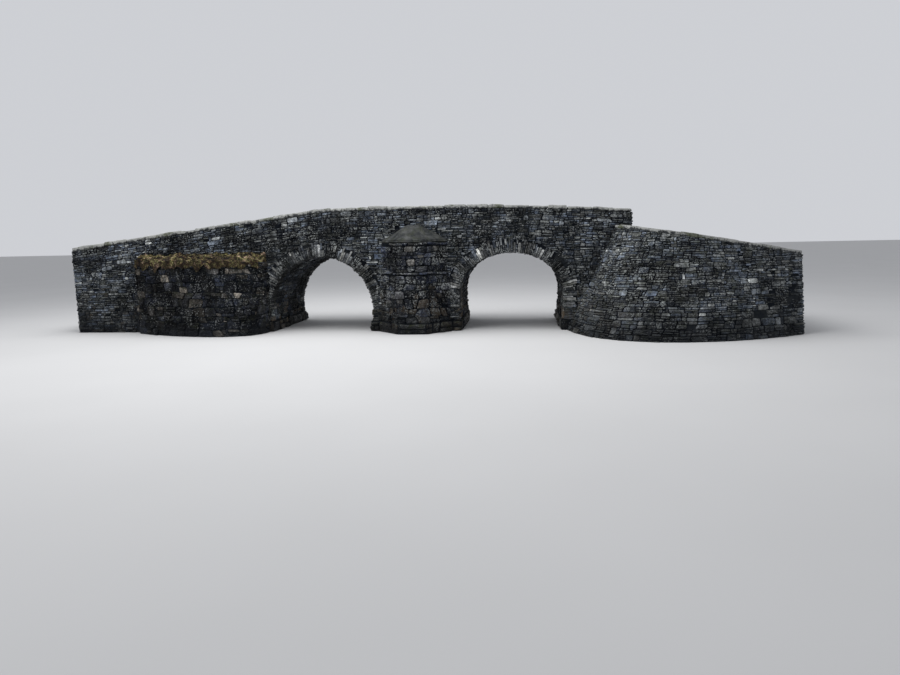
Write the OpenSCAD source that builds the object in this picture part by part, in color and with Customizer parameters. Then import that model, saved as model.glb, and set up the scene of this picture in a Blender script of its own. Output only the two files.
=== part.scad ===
// Two-arch packhorse bridge of rubble slate, with a humped road between parapets.
// The origin is the centre of the river pier's foot. X runs along the bridge,
// Y runs through the arches and Z is up. All sizes are in millimetres.

/* [Bridge] */
// Width over the two faces
bridge_w = 3340; // [2800:10:4200]
// Thickness of the front and back walls up to the road
wall_t = 450; // [350:10:600]
// Height of the arch springings above the water
spring_z = 700; // [500:10:1200]

/* [Arches] */
// Width of the river pier between the two arches
pier_w = 2700; // [2300:10:3600]
// Span of the left arch, which is a half circle
left_span = 3350; // [2600:10:3800]
// Span of the right arch
right_span = 3230; // [2600:10:3800]
// Rise of the right arch's curve
right_rise = 1250; // [1000:10:1500]
// Upright stretch under the right arch's curve
right_stilt = 450; // [150:10:700]
// Depth of the rings of arch stones
ring_d = 420; // [300:10:480]
// Number of arch stones round each curve
ring_n = 40; // [24:2:56]
// Width of the V joints between arch stones at the face
ring_joint = 14; // [6:1:24]
// Depth of the V joints
joint_depth = 18; // [8:1:30]
// Gap between arch stones behind the V joints
stone_gap = 0.6; // [0.3:0.1:0.9]

/* [Hump] */
// Fill over the higher arch ring, under the road
fill_cover = 20; // [10:5:150]
// Thickness of the road's surface layer
road_t = 80; // [50:5:150]
// Distance from the pier's centre to where the left ramp starts to fall
knee_from_pier = 1900; // [1200:50:2600]
// Length over which the left ramp's fall sets in
knee_l = 1500; // [600:50:2400]
// Slope of the left ramp
ramp_slope = 0.124; // [0.06:0.002:0.16]
// Distance from the pier's centre to where the right end starts to fall
brow_from_pier = 500; // [0:50:1500]
// Radius of the long curve on which the right end falls
brow_r = 79000; // [60000:500:120000]

/* [Parapets] */
// Height of the parapets above the road, coping included
parapet_h = 900; // [700:10:1100]
// Thickness of the parapets
parapet_t = 400; // [300:10:450]
// Thickness of the coping slabs
coping_t = 105; // [60:5:160]
// How far the coping stands out beyond the parapet on each side
coping_out = 40; // [10:5:80]
// Usual length of one coping slab
coping_l = 620; // [450:10:900]
// How much the slab lengths vary
coping_vary = 80; // [0:5:120]
// Width of the joints between coping slabs
coping_joint = 14; // [6:1:30]

/* [Approaches] */
// Length of the left approach from the left arch
left_approach_l = 6590; // [5600:10:8000]
// Length of the left abutment under its springing
left_abutment_l = 1500; // [1000:10:2200]
// Length of the right parapet from the right arch
right_parapet_l = 1970; // [1600:10:2600]
// Length of the right approach from the right arch
right_approach_l = 6520; // [5600:10:8000]
// Thickness of the end walls
end_t = 450; // [300:10:600]

/* [Cutwaters] */
// Half the width of a cutwater where it meets the face
cutwater_half = 1080; // [800:10:1250]
// Half the width of its blunt nose
nose_half = 360; // [150:10:600]
// How far a cutwater stands out from the face
cutwater_out = 780; // [500:10:1100]
// Height of the set-off round the cutwater
setoff_z = 1860; // [1300:10:2300]
// Width of that set-off
setoff_w = 60; // [20:5:120]
// How far below the road the cutwater's masonry stops
cutwater_drop = 220; // [100:10:500]
// How far the cap overhangs the masonry
cap_out = 30; // [0:5:80]
// Thickness of the cap at its edge
cap_edge = 70; // [30:5:150]
// Rise of the sloped cap from its edge to the face
cap_rise = 480; // [200:10:700]
// Half the width of the cap's top edge against the face
cap_top_half = 230; // [50:10:330]

/* [Feet] */
// Height of the large stones at the feet of the pier and the abutments
footing_h = 320; // [150:10:450]
// How far these feet stand out
footing_out = 70; // [20:5:110]

/* [Right wing] */
// Thickness of the right wing wall at its top
wing_t = 450; // [350:10:600]
// How far its foot bulges out from the face
wing_foot_out = 3300; // [2400:50:4000]
// How far its top bulges out from the face
wing_top_out = 2100; // [1400:50:2300]
// How far it stands out at the far end, at the foot
wing_end_out = 1200; // [900:10:1600]
// Batter of the wing wall at its far end
wing_end_batter = 400; // [100:10:500]
// Height of its coping's top at the parapet
kerb_z = 3140; // [3000:10:3300]
// Slope of its coping towards the far end
kerb_slope = 0.168; // [0.14:0.002:0.18]
// Thickness of the wing's coping slabs
kerb_t = 90; // [50:5:140]

/* [Left wing] */
// Length of the left wing along the face
left_wing_l = 4200; // [2600:50:5200]
// How far its foot bulges out
left_wing_out = 1500; // [900:50:2000]
// Batter of the left wing
left_wing_batter = 220; // [50:10:350]
// Depth of its upright end beside the arch
left_wing_end = 360; // [250:10:500]
// Height of its wall
left_wing_z = 2240; // [1600:10:2350]
// Thickness of its capping along the outer edge
capping_edge = 60; // [30:5:120]
// Rise of the sloped capping up to the face
capping_rise = 230; // [80:10:300]

/* [Hidden] */

// Places along the bridge
face_y = bridge_w / 2;
left_jamb_x = -pier_w / 2 - left_span;
right_jamb_x = pier_w / 2 + right_span;
left_abutment_x = left_jamb_x - left_abutment_l;
left_end_x = left_jamb_x - left_approach_l;
parapet_end_x = right_jamb_x + right_parapet_l;
right_end_x = right_jamb_x + right_approach_l;

// An arch is its centre's place, its half span, its curve's rise and its upright stretch
left_arch = [-pier_w / 2 - left_span / 2, left_span / 2, left_span / 2, 0];
right_arch = [pier_w / 2 + right_span / 2, right_span / 2, right_rise, right_stilt];
stone_l = 3.14159 * left_span / 2 / ring_n;

// Fall of the road from its level crown, which a ramp on the left and a long curve
// on the right bring about
function left_fall(d) = ramp_slope * (d < knee_l ? d * d / (2 * knee_l) : d - knee_l / 2);
function right_fall(d) = d * d / (2 * brow_r);
function fall(x) = left_fall(max(0, -knee_from_pier - x)) + right_fall(max(0, x - brow_from_pier));
function crown_z(arch) = spring_z + arch[3] + arch[2];
hump_z = max([for (arch = [left_arch, right_arch]) crown_z(arch) + fall(arch[0])])
    + ring_d + fill_cover + road_t;
cutwater_z = hump_z - cutwater_drop;

// Coping joints along the bridge, which are also the corners of the road's outline
slab_n = round((parapet_end_x - left_end_x) / coping_l);
slab_pitch = (parapet_end_x - left_end_x) / slab_n;
joint_n = slab_n + ceil((right_end_x - parapet_end_x) / slab_pitch);
split_n = round((-knee_from_pier - left_end_x) / slab_pitch);
function joint_x(i) = left_end_x + i * slab_pitch
    + (i == 0 || i >= slab_n ? 0 : coping_vary * sin(137 * i));
road = [for (i = [0:joint_n]) [joint_x(i), hump_z - fall(joint_x(i))]];
split_x = joint_x(split_n);
function road_z(x) = lookup(x, road);
function road_line(x0, x1, up = 0) = [
    for (x = concat([x0], [for (p = road) if (p[0] > x0 && p[0] < x1) p[0]], [x1]))
        [x, road_z(x) + up]
];
function reversed(list) = [for (i = [len(list) - 1:-1:0]) list[i]];
function part_of(list, first, last) = [for (i = [first:last]) list[i]];

// A curve of an arch, set out by its own normal: 0 is the inside of the ring and ring_d its back
function arch_curve(arch, out) =
    let (
        foot_n = round(arch[3] / stone_l),
        left_foot = [
            for (i = [0:1:foot_n - 1])
                [arch[0] - arch[1] - out, spring_z + arch[3] * i / foot_n]
        ],
        right_foot = [for (p = reversed(left_foot)) [2 * arch[0] - p[0], p[1]]],
        bend = [
            for (i = [0:ring_n])
                let (
                    a = 180 - 180 * i / ring_n,
                    n = [cos(a) / arch[1], sin(a) / arch[2]]
                )
                [arch[0], spring_z + arch[3]]
                    + [arch[1] * cos(a), arch[2] * sin(a)] + out * n / norm(n)
        ]
    )
    concat(left_foot, bend, right_foot);
function ring_back_left(arch) =
    let (back = arch_curve(arch, ring_d)) part_of(back, 0, (len(back) - 1) / 2);
function ring_back_right(arch) =
    let (back = arch_curve(arch, ring_d)) part_of(back, (len(back) - 1) / 2, len(back) - 1);

// Plan of the right wing, from the face beside the arch round to its far end
wing_n = 12;
function bezier(p, t) =
    pow(1 - t, 3) * p[0] + 3 * pow(1 - t, 2) * t * p[1]
    + 3 * (1 - t) * t * t * p[2] + pow(t, 3) * p[3];
wing_bend_x = right_jamb_x + right_approach_l * 0.57;
wing_foot_ends = [
    [right_jamb_x + 120, -face_y],
    [right_jamb_x + 520, -face_y - wing_foot_out],
    [wing_bend_x, -face_y - wing_foot_out],
    [right_end_x, -face_y - wing_end_out]
];
wing_top_ends = [
    [parapet_end_x - wing_t, -face_y],
    [parapet_end_x - wing_t + 100, -face_y - wing_top_out],
    [wing_bend_x, -face_y - wing_top_out],
    [right_end_x, -face_y - wing_end_out + wing_end_batter]
];
function wing_foot(t) = bezier(wing_foot_ends, t);
function wing_top(t) = bezier(wing_top_ends, t);
function wing_inner(t) = wing_top(t) + wing_t * [cos(90 * t), sin(90 * t)];
wing_inside = [for (i = [0:wing_n]) wing_inner(i / wing_n)];
function kerb_top(x) = kerb_z - kerb_slope * (x - (parapet_end_x - wing_t));
function kerb_bed(x) = kerb_top(x) - kerb_t;

// Plan of the left wing, from the arch round to where it dies into the face
left_wing_x = left_jamb_x - 50;
left_foot_ends = [
    [left_wing_x, -face_y - left_wing_end],
    [left_wing_x - 150, -face_y - left_wing_out],
    [left_wing_x - left_wing_l * 0.45, -face_y - left_wing_out],
    [left_wing_x - left_wing_l, -face_y - left_wing_end]
];
left_top_ends = [for (i = [0:3]) left_foot_ends[i] + [0, i == 0 || i == 3 ? 60 : left_wing_batter * 1.4]];
function left_foot(t) = bezier(left_foot_ends, t);
function left_top(t) = bezier(left_top_ends, t);

// An elevation drawn in X and Z and carried through from y0 to y1
module across(y0, y1) {
    translate([0, y1, 0]) rotate([90, 0, 0]) linear_extrude(y1 - y0) children();
}

// The back of the bridge mirrors the front
module at_back() {
    mirror([0, 1, 0]) children();
}

// A body whose section is a quadrilateral at each of n + 1 stations
module swept(sections) {
    n = len(sections) - 1;
    points = [for (s = sections) for (p = s) p];
    sides = [
        for (i = [0:n - 1]) for (k = [0:3])
            let (a = 4 * i + k, b = 4 * i + (k + 1) % 4)
            each [[a, b, b + 4], [a, b + 4, a + 4]]
    ];
    ends = [[2, 1, 0], [3, 2, 0], [4 * n, 4 * n + 1, 4 * n + 2], [4 * n, 4 * n + 2, 4 * n + 3]];
    polyhedron(points, concat(sides, ends));
}

// The pier's large foot stones, wider than the pier and pointed like its cutwaters
module pier_footing() {
    half = pier_w / 2 + footing_out;
    nose = nose_half + footing_out;
    out = face_y + cutwater_out + footing_out;
    shoulder = cutwater_half + footing_out;
    front = [[half, -face_y], [shoulder, -face_y - footing_out], [nose, -out],
        [-nose, -out], [-shoulder, -face_y - footing_out], [-half, -face_y]];
    color("#5b4f43") linear_extrude(footing_h)
        polygon(concat(front, [for (p = reversed(front)) [p[0], -p[1]]]));
}

// The pier between the two waterways, up to the springings
module pier() {
    color("#45464d") translate([-pier_w / 2, -face_y, footing_h])
        cube([pier_w, bridge_w, spring_z - footing_h]);
}

function cutwater_plan(less) = [
    [-cutwater_half + less, -face_y], [-nose_half + less / 2, -face_y - cutwater_out + less],
    [nose_half - less / 2, -face_y - cutwater_out + less], [cutwater_half - less, -face_y]
];

// Blunt cutwater in two stages, with a set-off between them
module cutwater() {
    color("#4b4b52") union() {
        translate([0, 0, footing_h]) linear_extrude(setoff_z - footing_h) polygon(cutwater_plan(0));
        translate([0, 0, footing_h]) linear_extrude(cutwater_z - footing_h)
            polygon(cutwater_plan(setoff_w));
    }
}

// Hipped cap that sheds water from the cutwater's head
module cutwater_cap() {
    plan = cutwater_plan(setoff_w - cap_out);
    low = [for (p = plan) [p[0], p[1], cutwater_z]];
    edge = [for (p = plan) [p[0], p[1], cutwater_z + cap_edge]];
    top = [for (x = [-cap_top_half, cap_top_half]) [x, -face_y, cutwater_z + cap_edge + cap_rise]];
    sides = [for (i = [0:3]) let (j = (i + 1) % 4) [j, i, i + 4, j + 4]];
    slopes = [[5, 4, 8], [6, 5, 8, 9], [7, 6, 9]];
    color("#6d6a64") polyhedron(
        concat(low, edge, top),
        concat([[0, 1, 2, 3]], sides, slopes, [[4, 7, 9, 8]])
    );
}

// Large foot stones of an abutment, which step out into the waterway
module abutment_footing(x0, x1) {
    color("#5b4f43") translate([x0, -face_y, 0]) cube([x1 - x0, bridge_w, footing_h]);
}

// Abutments, solid masonry under the outer springings
module abutment(x0, x1) {
    color("#45464d") translate([x0, -face_y, footing_h])
        cube([x1 - x0, bridge_w, spring_z - footing_h]);
}

// A corner of an arch stone, drawn in along the stone's side by half the gap at its joint
function drawn_in(corner, next, joint, gap) =
    let (across_joint = [joint[1], -joint[0]] / norm(joint))
    corner + (next - corner) * gap / 2 / abs((next - corner) * across_joint);

// The outline of each stone round an arch, from its left springing to its right one
function arch_stones(arch, gap) =
    let (inner = arch_curve(arch, 0), back = arch_curve(arch, ring_d))
    [
        for (i = [0:len(inner) - 2])
            let (start = back[i] - inner[i], end = back[i + 1] - inner[i + 1])
            [
                drawn_in(inner[i], inner[i + 1], start, gap),
                drawn_in(inner[i + 1], inner[i], end, gap),
                drawn_in(back[i + 1], back[i], end, gap),
                drawn_in(back[i], back[i + 1], start, gap)
            ]
    ];

// The vault between the two faces, one long course to each stone of the rings
module arch_barrel(arch) {
    color("#3c3b40") for (outline = arch_stones(arch, stone_gap))
        across(wall_t - face_y, face_y - wall_t) polygon(outline);
}

// Face ring of the arch: wedges through the wall, which meet in V joints at the face
module arch_ring(arch) {
    whole = arch_stones(arch, stone_gap);
    front = arch_stones(arch, ring_joint);
    color("#6f6560") for (i = [0:len(whole) - 1])
        swept([
            [for (p = front[i]) [p[0], -face_y, p[1]]],
            [for (p = whole[i]) [p[0], joint_depth - face_y, p[1]]],
            [for (p = whole[i]) [p[0], wall_t - face_y, p[1]]]
        ]);
}

// Front wall above the springings, in three lengths that meet over the crowns
module spandrel(outline) {
    color("#4a4a52") across(-face_y, wall_t - face_y) polygon(outline);
}

function left_spandrel_outline(x0, drop = 0) = concat(
    [[x0, spring_z]], ring_back_left(left_arch),
    reversed(road_line(x0, left_arch[0], -drop))
);
function pier_spandrel_outline(drop = 0) = concat(
    ring_back_right(left_arch), ring_back_left(right_arch),
    reversed(road_line(left_arch[0], right_arch[0], -drop))
);
right_spandrel_outline = concat(
    ring_back_right(right_arch), [[parapet_end_x, spring_z]],
    reversed(road_line(right_arch[0], parapet_end_x))
);

// Side wall of the left approach, from the ground to the road
module left_approach_wall() {
    color("#4a4a52") across(-face_y, wall_t - face_y)
        polygon(concat([[left_end_x, 0], [left_abutment_x, 0]],
            reversed(road_line(left_end_x, left_abutment_x))));
}

// Side wall of the right approach at the back, up to its low kerb
module back_right_approach_wall() {
    color("#4a4a52") at_back() across(-face_y, wall_t - face_y)
        polygon([[parapet_end_x, 0], [right_end_x, 0], [right_end_x, kerb_bed(right_end_x)],
            [parapet_end_x, kerb_bed(parapet_end_x)]]);
}

// The left approach's cut end
module left_end_wall() {
    color("#4a4a52") across(wall_t - face_y, face_y - wall_t)
        polygon(concat([[left_end_x, 0], [left_end_x + end_t, 0]],
            reversed(road_line(left_end_x, left_end_x + end_t, -road_t))));
}

// Ground that the right approach covers, inside the wing and the back wall
module right_approach_plan() {
    linear_extrude(hump_z + parapet_h)
        polygon(concat(wing_inside, [[right_end_x, face_y - wall_t], [parapet_end_x, face_y - wall_t]]));
}

// The right approach's cut end
module right_end_wall() {
    x0 = right_end_x - end_t;
    color("#4a4a52") intersection() {
        across(-face_y - wing_foot_out, face_y)
            polygon(concat([[x0, 0], [right_end_x, 0]], reversed(road_line(x0, right_end_x, -road_t))));
        right_approach_plan();
    }
}

// Rubble filling between the walls
module left_fill() {
    x0 = left_end_x + end_t;
    color("#5a5147") across(wall_t - face_y, face_y - wall_t)
        polygon(concat([[x0, 0], [left_abutment_x, 0]], [[left_abutment_x, spring_z]],
            ring_back_left(left_arch), reversed(road_line(x0, left_arch[0], -road_t))));
}

module pier_fill() {
    color("#5a5147") across(wall_t - face_y, face_y - wall_t) polygon(pier_spandrel_outline(road_t));
}

module right_fill() {
    x1 = right_end_x - end_t;
    color("#5a5147") union() {
        across(wall_t - face_y, face_y - wall_t)
            polygon(concat(ring_back_right(right_arch), [[parapet_end_x, spring_z]],
                reversed(road_line(right_arch[0], parapet_end_x, -road_t))));
        intersection() {
            across(-face_y - wing_foot_out, face_y)
                polygon(concat([[parapet_end_x, 0], [x1, 0]],
                    reversed(road_line(parapet_end_x, x1, -road_t))));
            right_approach_plan();
        }
    }
}

// Road surface, which follows the hump between the parapets
module road_layer(x0, x1) {
    polygon(concat(road_line(x0, x1, -road_t), reversed(road_line(x0, x1))));
}

module left_roadway() {
    color("#77746f") across(wall_t - face_y, face_y - wall_t) road_layer(left_end_x, split_x);
}

module right_roadway() {
    color("#77746f") across(wall_t - face_y, face_y - wall_t) road_layer(split_x, parapet_end_x);
}

// Road surface where the road widens between the wing and the back wall
module right_apron() {
    color("#77746f") intersection() {
        across(-face_y - wing_foot_out, face_y) road_layer(parapet_end_x, right_end_x);
        right_approach_plan();
    }
}

// Parapet wall from the road up to its coping
module parapet(x0, x1) {
    bed = parapet_h - coping_t;
    color("#4d4d55") across(-face_y, parapet_t - face_y)
        polygon(concat(road_line(x0, x1), reversed(road_line(x0, x1, bed))));
}

// Coping slabs, each laid on one straight length of the parapet
module coping(first, last) {
    for (i = [first:last - 1]) {
        x0 = joint_x(i) + coping_joint / 2;
        x1 = joint_x(i + 1) - coping_joint / 2;
        bed = parapet_h - coping_t;
        color("#8d8c86") across(-face_y - coping_out, parapet_t - face_y + coping_out)
            polygon([[x0, road_z(x0) + bed], [x1, road_z(x1) + bed],
                [x1, road_z(x1) + parapet_h], [x0, road_z(x0) + parapet_h]]);
    }
}

// Low kerb of slabs on the back right wall
module back_kerb() {
    n = round((right_end_x - parapet_end_x) / coping_l);
    pitch = (right_end_x - parapet_end_x) / n;
    for (i = [0:n - 1]) {
        x0 = parapet_end_x + i * pitch + coping_joint / 2;
        x1 = parapet_end_x + (i + 1) * pitch - coping_joint / 2;
        color("#8d8c86") across(-face_y - coping_out, wall_t - face_y)
            polygon([[x0, kerb_bed(x0)], [x1, kerb_bed(x1)], [x1, kerb_top(x1)], [x0, kerb_top(x0)]]);
    }
}

// Right wing wall, which sweeps out from the arch's jamb to carry the widened road
module right_wing_wall() {
    color("#4a4a4f") swept([
        for (i = [0:wing_n])
            let (t = i / wing_n, foot = wing_foot(t), top = wing_top(t), inner = wing_inner(t))
            [
                [foot[0], foot[1], 0], [top[0], top[1], kerb_bed(top[0])],
                [inner[0], inner[1], kerb_bed(inner[0])], [inner[0], inner[1], 0]
            ]
    ]);
}

// Coping of the right wing, one slab to each straight length of the wall
module right_wing_coping() {
    share = coping_joint / 2 / coping_l;
    color("#8d8c86") for (i = [0:wing_n - 1]) {
        swept([
            for (s = [share, 1 - share])
                let (
                    top = wing_top(i / wing_n) * (1 - s) + wing_top((i + 1) / wing_n) * s,
                    inner = wing_inside[i] * (1 - s) + wing_inside[i + 1] * s,
                    lip = coping_out * (top - inner) / norm(top - inner),
                    edge = top + (i == 0 && s < 0.5 ? [-coping_out, 0] : lip)
                )
                [
                    [edge[0], edge[1], kerb_bed(edge[0])], [edge[0], edge[1], kerb_top(edge[0])],
                    [inner[0], inner[1], kerb_top(inner[0])], [inner[0], inner[1], kerb_bed(inner[0])]
                ]
        ]);
    }
}

// Left wing, a solid bulge of large stones against the face
module left_wing_wall() {
    color("#3f4047") swept([
        for (i = [0:wing_n])
            let (foot = left_foot(i / wing_n), top = left_top(i / wing_n))
            [
                [top[0], -face_y, 0], [top[0], -face_y, left_wing_z],
                [top[0], top[1], left_wing_z], [foot[0], foot[1], 0]
            ]
    ]);
}

// Sloped capping of the left wing
module left_wing_capping() {
    color("#5c5c45") swept([
        for (i = [0:wing_n])
            let (top = left_top(i / wing_n))
            [
                [top[0], -face_y, left_wing_z], [top[0], -face_y, left_wing_z + capping_edge + capping_rise],
                [top[0], top[1], left_wing_z + capping_edge], [top[0], top[1], left_wing_z]
            ]
    ]);
}

pier_footing();
pier();
cutwater();  // front_cutwater
cutwater_cap();  // front_cutwater_cap
at_back() cutwater();  // back_cutwater
at_back() cutwater_cap();  // back_cutwater_cap
abutment_footing(left_abutment_x, left_jamb_x + footing_out);  // left_abutment_footing
abutment_footing(right_jamb_x - footing_out, parapet_end_x);  // right_abutment_footing
abutment(left_abutment_x, left_jamb_x);  // left_abutment
abutment(right_jamb_x, parapet_end_x);  // right_abutment
arch_barrel(left_arch);  // left_arch_barrel
arch_barrel(right_arch);  // right_arch_barrel
arch_ring(left_arch);  // front_left_arch_ring
arch_ring(right_arch);  // front_right_arch_ring
at_back() arch_ring(left_arch);  // back_left_arch_ring
at_back() arch_ring(right_arch);  // back_right_arch_ring
spandrel(left_spandrel_outline(left_abutment_x));  // front_left_spandrel
spandrel(pier_spandrel_outline());  // front_pier_spandrel
spandrel(right_spandrel_outline);  // front_right_spandrel
at_back() spandrel(left_spandrel_outline(left_abutment_x));  // back_left_spandrel
at_back() spandrel(pier_spandrel_outline());  // back_pier_spandrel
at_back() spandrel(right_spandrel_outline);  // back_right_spandrel
left_approach_wall();  // front_left_approach_wall
at_back() left_approach_wall();  // back_left_approach_wall
back_right_approach_wall();
left_end_wall();
right_end_wall();
left_fill();
pier_fill();
right_fill();
left_roadway();
right_roadway();
right_apron();
parapet(left_end_x, split_x);  // front_left_parapet
parapet(split_x, parapet_end_x);  // front_right_parapet
at_back() parapet(left_end_x, split_x);  // back_left_parapet
at_back() parapet(split_x, parapet_end_x);  // back_right_parapet
coping(0, split_n);  // front_left_coping
coping(split_n, slab_n);  // front_right_coping
at_back() coping(0, split_n);  // back_left_coping
at_back() {  // back_right_coping
    coping(split_n, slab_n);
    back_kerb();
}
right_wing_wall();
right_wing_coping();
left_wing_wall();
left_wing_capping();
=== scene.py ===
import math
import random
from bisect import bisect_right
from itertools import pairwise
from typing import NamedTuple

import bmesh
import bpy
from mathutils import Matrix, Vector, noise


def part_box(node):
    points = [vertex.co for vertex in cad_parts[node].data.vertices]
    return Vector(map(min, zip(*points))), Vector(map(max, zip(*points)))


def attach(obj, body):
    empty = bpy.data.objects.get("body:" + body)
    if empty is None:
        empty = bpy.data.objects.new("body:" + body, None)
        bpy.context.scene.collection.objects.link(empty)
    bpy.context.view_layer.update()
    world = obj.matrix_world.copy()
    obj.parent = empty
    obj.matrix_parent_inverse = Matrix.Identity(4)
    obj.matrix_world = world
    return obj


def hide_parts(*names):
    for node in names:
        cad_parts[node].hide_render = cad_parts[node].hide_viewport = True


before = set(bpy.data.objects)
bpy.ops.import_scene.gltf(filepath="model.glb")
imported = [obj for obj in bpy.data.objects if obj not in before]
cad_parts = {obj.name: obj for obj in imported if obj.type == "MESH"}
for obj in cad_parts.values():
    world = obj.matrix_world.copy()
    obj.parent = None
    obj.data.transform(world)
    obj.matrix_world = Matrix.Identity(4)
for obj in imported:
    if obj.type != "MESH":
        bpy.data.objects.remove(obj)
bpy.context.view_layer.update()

# Without a seed of its own, the vector noise differs from run to run
noise.seed_set(11)

# Sizes in metres that the frame's boxes don't give by themselves, as in the part's source
WALL = 0.45
RING_DEPTH = 0.42
RING_STONES = 40
RIGHT_STILT = 0.45
PARAPET = 0.40
COPING = 0.105
COPING_OUT = 0.04
COPING_JOINT = 0.014
NOSE_HALF = 0.36
SETOFF_Z = 1.86
SETOFF = 0.06
FOOT_OUT = 0.07
WING_FOOT_OUT = 3.30
WING_TOP_OUT = 2.10
WING_END_OUT = 1.20
WING_END_BATTER = 0.40
WING_FOOT_START = 0.12
WING_FOOT_TURN = 0.52
WING_TOP_TURN = 0.10
WING_BEND = 0.57
KERB_Z = 3.14
KERB_SLOPE = 0.168
KERB = 0.09
LEFT_WING_LENGTH = 4.20
LEFT_WING_OUT = 1.50
LEFT_WING_BATTER = 0.22 * 1.4
LEFT_WING_END = 0.36
LEFT_END_BATTER = 0.06
LEFT_WING_GAP = 0.05
LEFT_WING_TURN = 0.15
LEFT_WING_BEND = 0.45
CAPPING_EDGE = 0.06
CAPPING_RISE = 0.23
WING_STATIONS = 12
SAME_PLACE = 0.01

# Places that the frame gives
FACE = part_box("back_left_parapet")[1].y
PIER_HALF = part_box("pier")[1].x
SPRING_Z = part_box("pier")[1].z
FOOT_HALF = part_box("pier_footing")[1].x
FOOT_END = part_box("pier_footing")[1].y
FOOT_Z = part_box("pier_footing")[1].z
CUTWATER_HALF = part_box("front_cutwater")[1].x
CUTWATER_END = -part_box("front_cutwater")[0].y
CUTWATER_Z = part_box("front_cutwater")[1].z
LEFT_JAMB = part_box("left_abutment")[1].x
RIGHT_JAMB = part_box("right_abutment")[0].x
LEFT_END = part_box("left_end_wall")[0].x
PARAPET_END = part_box("front_right_parapet")[1].x
RIGHT_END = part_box("back_right_approach_wall")[1].x
LEFT_WING_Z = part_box("left_wing_wall")[1].z


def loop(items):
    """Each item with the one after it, and the last with the first."""
    return zip(items, items[1:] + items[:1])


def between(corners, i, share):
    """The place at a share of the run that starts at corner i."""
    return corners[i].lerp(corners[i + 1], share)


class Path:
    """A line of corners in plan or elevation, measured along its length.

    Its facing is to the left of its direction. At a corner the facing is a mitre, so that
    what is set out from both sides meets there."""

    def __init__(self, corners, closed=False):
        self.corners = [Vector(corner) for corner in corners]
        runs = [b - a for a, b in pairwise(self.corners)]
        self.reach = [0.0]
        for run in runs:
            self.reach.append(self.reach[-1] + run.length)
        self.length = self.reach[-1]
        self.sides = [Vector((-run.y, run.x)).normalized() for run in runs]
        before = [self.sides[-1] if closed else self.sides[0]] + self.sides
        after = self.sides + [self.sides[0] if closed else self.sides[-1]]
        self.facings = [(a + b) / (1 + a.dot(b)) for a, b in zip(before, after)]

    def station(self, along):
        """The run that a distance falls on, and the share of that run before it."""
        i = min(max(bisect_right(self.reach, along) - 1, 0), len(self.sides) - 1)
        return i, (along - self.reach[i]) / (self.reach[i + 1] - self.reach[i])

    def at(self, along, out=0.0):
        """The place at a distance along the path and out from it."""
        i, share = self.station(along)
        return between(self.corners, i, share) + between(self.facings, i, share) * out

    def nearest(self, point):
        """The nearest place on the path to a point, and the side that the path faces there."""
        best = None
        for (a, b), side in zip(pairwise(self.corners), self.sides):
            run = b - a
            share = min(max((point - a).dot(run) / run.length_squared, 0), 1)
            place = a + run * share
            gap = (point - place).length
            if best is None or gap < best[0]:
                best = gap, place, side
        return best[1], best[2]


def road_corners():
    """Corners of the road's line: the feet of the parapets, then the apron's top."""
    line = {}
    for node in ("front_left_parapet", "front_right_parapet"):
        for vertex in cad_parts[node].data.vertices:
            x = round(vertex.co.x, 3)
            line[x] = min(line.get(x, 99), vertex.co.z)
    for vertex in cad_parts["right_apron"].data.vertices:
        x = round(vertex.co.x, 3)
        if x > PARAPET_END + SAME_PLACE:
            line[x] = max(line.get(x, 0), vertex.co.z)
    return sorted(line.items())


def value_at(line, x):
    """The value at x on a line of (x, value) corners, which runs on past its ends."""
    i = min(max(bisect_right(line, (x, math.inf)) - 1, 0), len(line) - 2)
    (x0, value0), (x1, value1) = line[i], line[i + 1]
    return value0 + (value1 - value0) * (x - x0) / (x1 - x0)


ROAD = road_corners()
HUMP_Z = max(z for x, z in ROAD)
PARAPET_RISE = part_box("front_right_parapet")[1].z - HUMP_Z


def road_z(x):
    return value_at(ROAD, x)


def parapet_bed(x):
    """Height of the bed of the parapets' copings."""
    return road_z(x) + PARAPET_RISE


def kerb_bed(x):
    """Height of the bed of the low kerbs beyond the parapets."""
    return KERB_Z - KERB_SLOPE * (x - PARAPET_END + WALL) - KERB


class Arch:
    """An arch's curve, from its left springing over the crown to its right one."""

    def __init__(self, left, right, rise, stilt):
        self.left = left
        self.right = right
        self.middle = (left + right) / 2
        self.half = (right - left) / 2
        self.rise = rise
        self.stilt = stilt
        self.soffit = Path(self.curve(0))
        self.back = Path(self.curve(RING_DEPTH, foot=-SPRING_Z))

    def curve(self, out, foot=0.0):
        left = [(self.middle - self.half - out, SPRING_Z + foot)]
        right = [(self.middle + self.half + out, SPRING_Z + foot)]
        bend = []
        for i in range(RING_STONES + 1):
            angle = math.pi * (1 - i / RING_STONES)
            facing = Vector((math.cos(angle) / self.half, math.sin(angle) / self.rise))
            on_curve = Vector((self.half * math.cos(angle), self.rise * math.sin(angle)))
            centre = Vector((self.middle, SPRING_Z + self.stilt))
            bend.append(centre + on_curve + facing.normalized() * out)
        if self.stilt or foot:
            return left + bend + right
        return bend


RIGHT_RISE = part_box("right_arch_barrel")[1].z - SPRING_Z - RIGHT_STILT - RING_DEPTH
LEFT_ARCH = Arch(LEFT_JAMB, -PIER_HALF, (-PIER_HALF - LEFT_JAMB) / 2, 0)
RIGHT_ARCH = Arch(PIER_HALF, RIGHT_JAMB, RIGHT_RISE, RIGHT_STILT)
ARCHES = (("left", LEFT_ARCH), ("right", RIGHT_ARCH))


def bent(ends):
    """A curve from the first end to the last, drawn towards the two between them."""
    a, b, c, d = (Vector(end) for end in ends)
    curve = []
    for i in range(WING_STATIONS + 1):
        share = i / WING_STATIONS
        rest = 1 - share
        curve.append(a * rest**3 + b * 3 * rest**2 * share
                     + c * 3 * rest * share**2 + d * share**3)
    return curve


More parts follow.
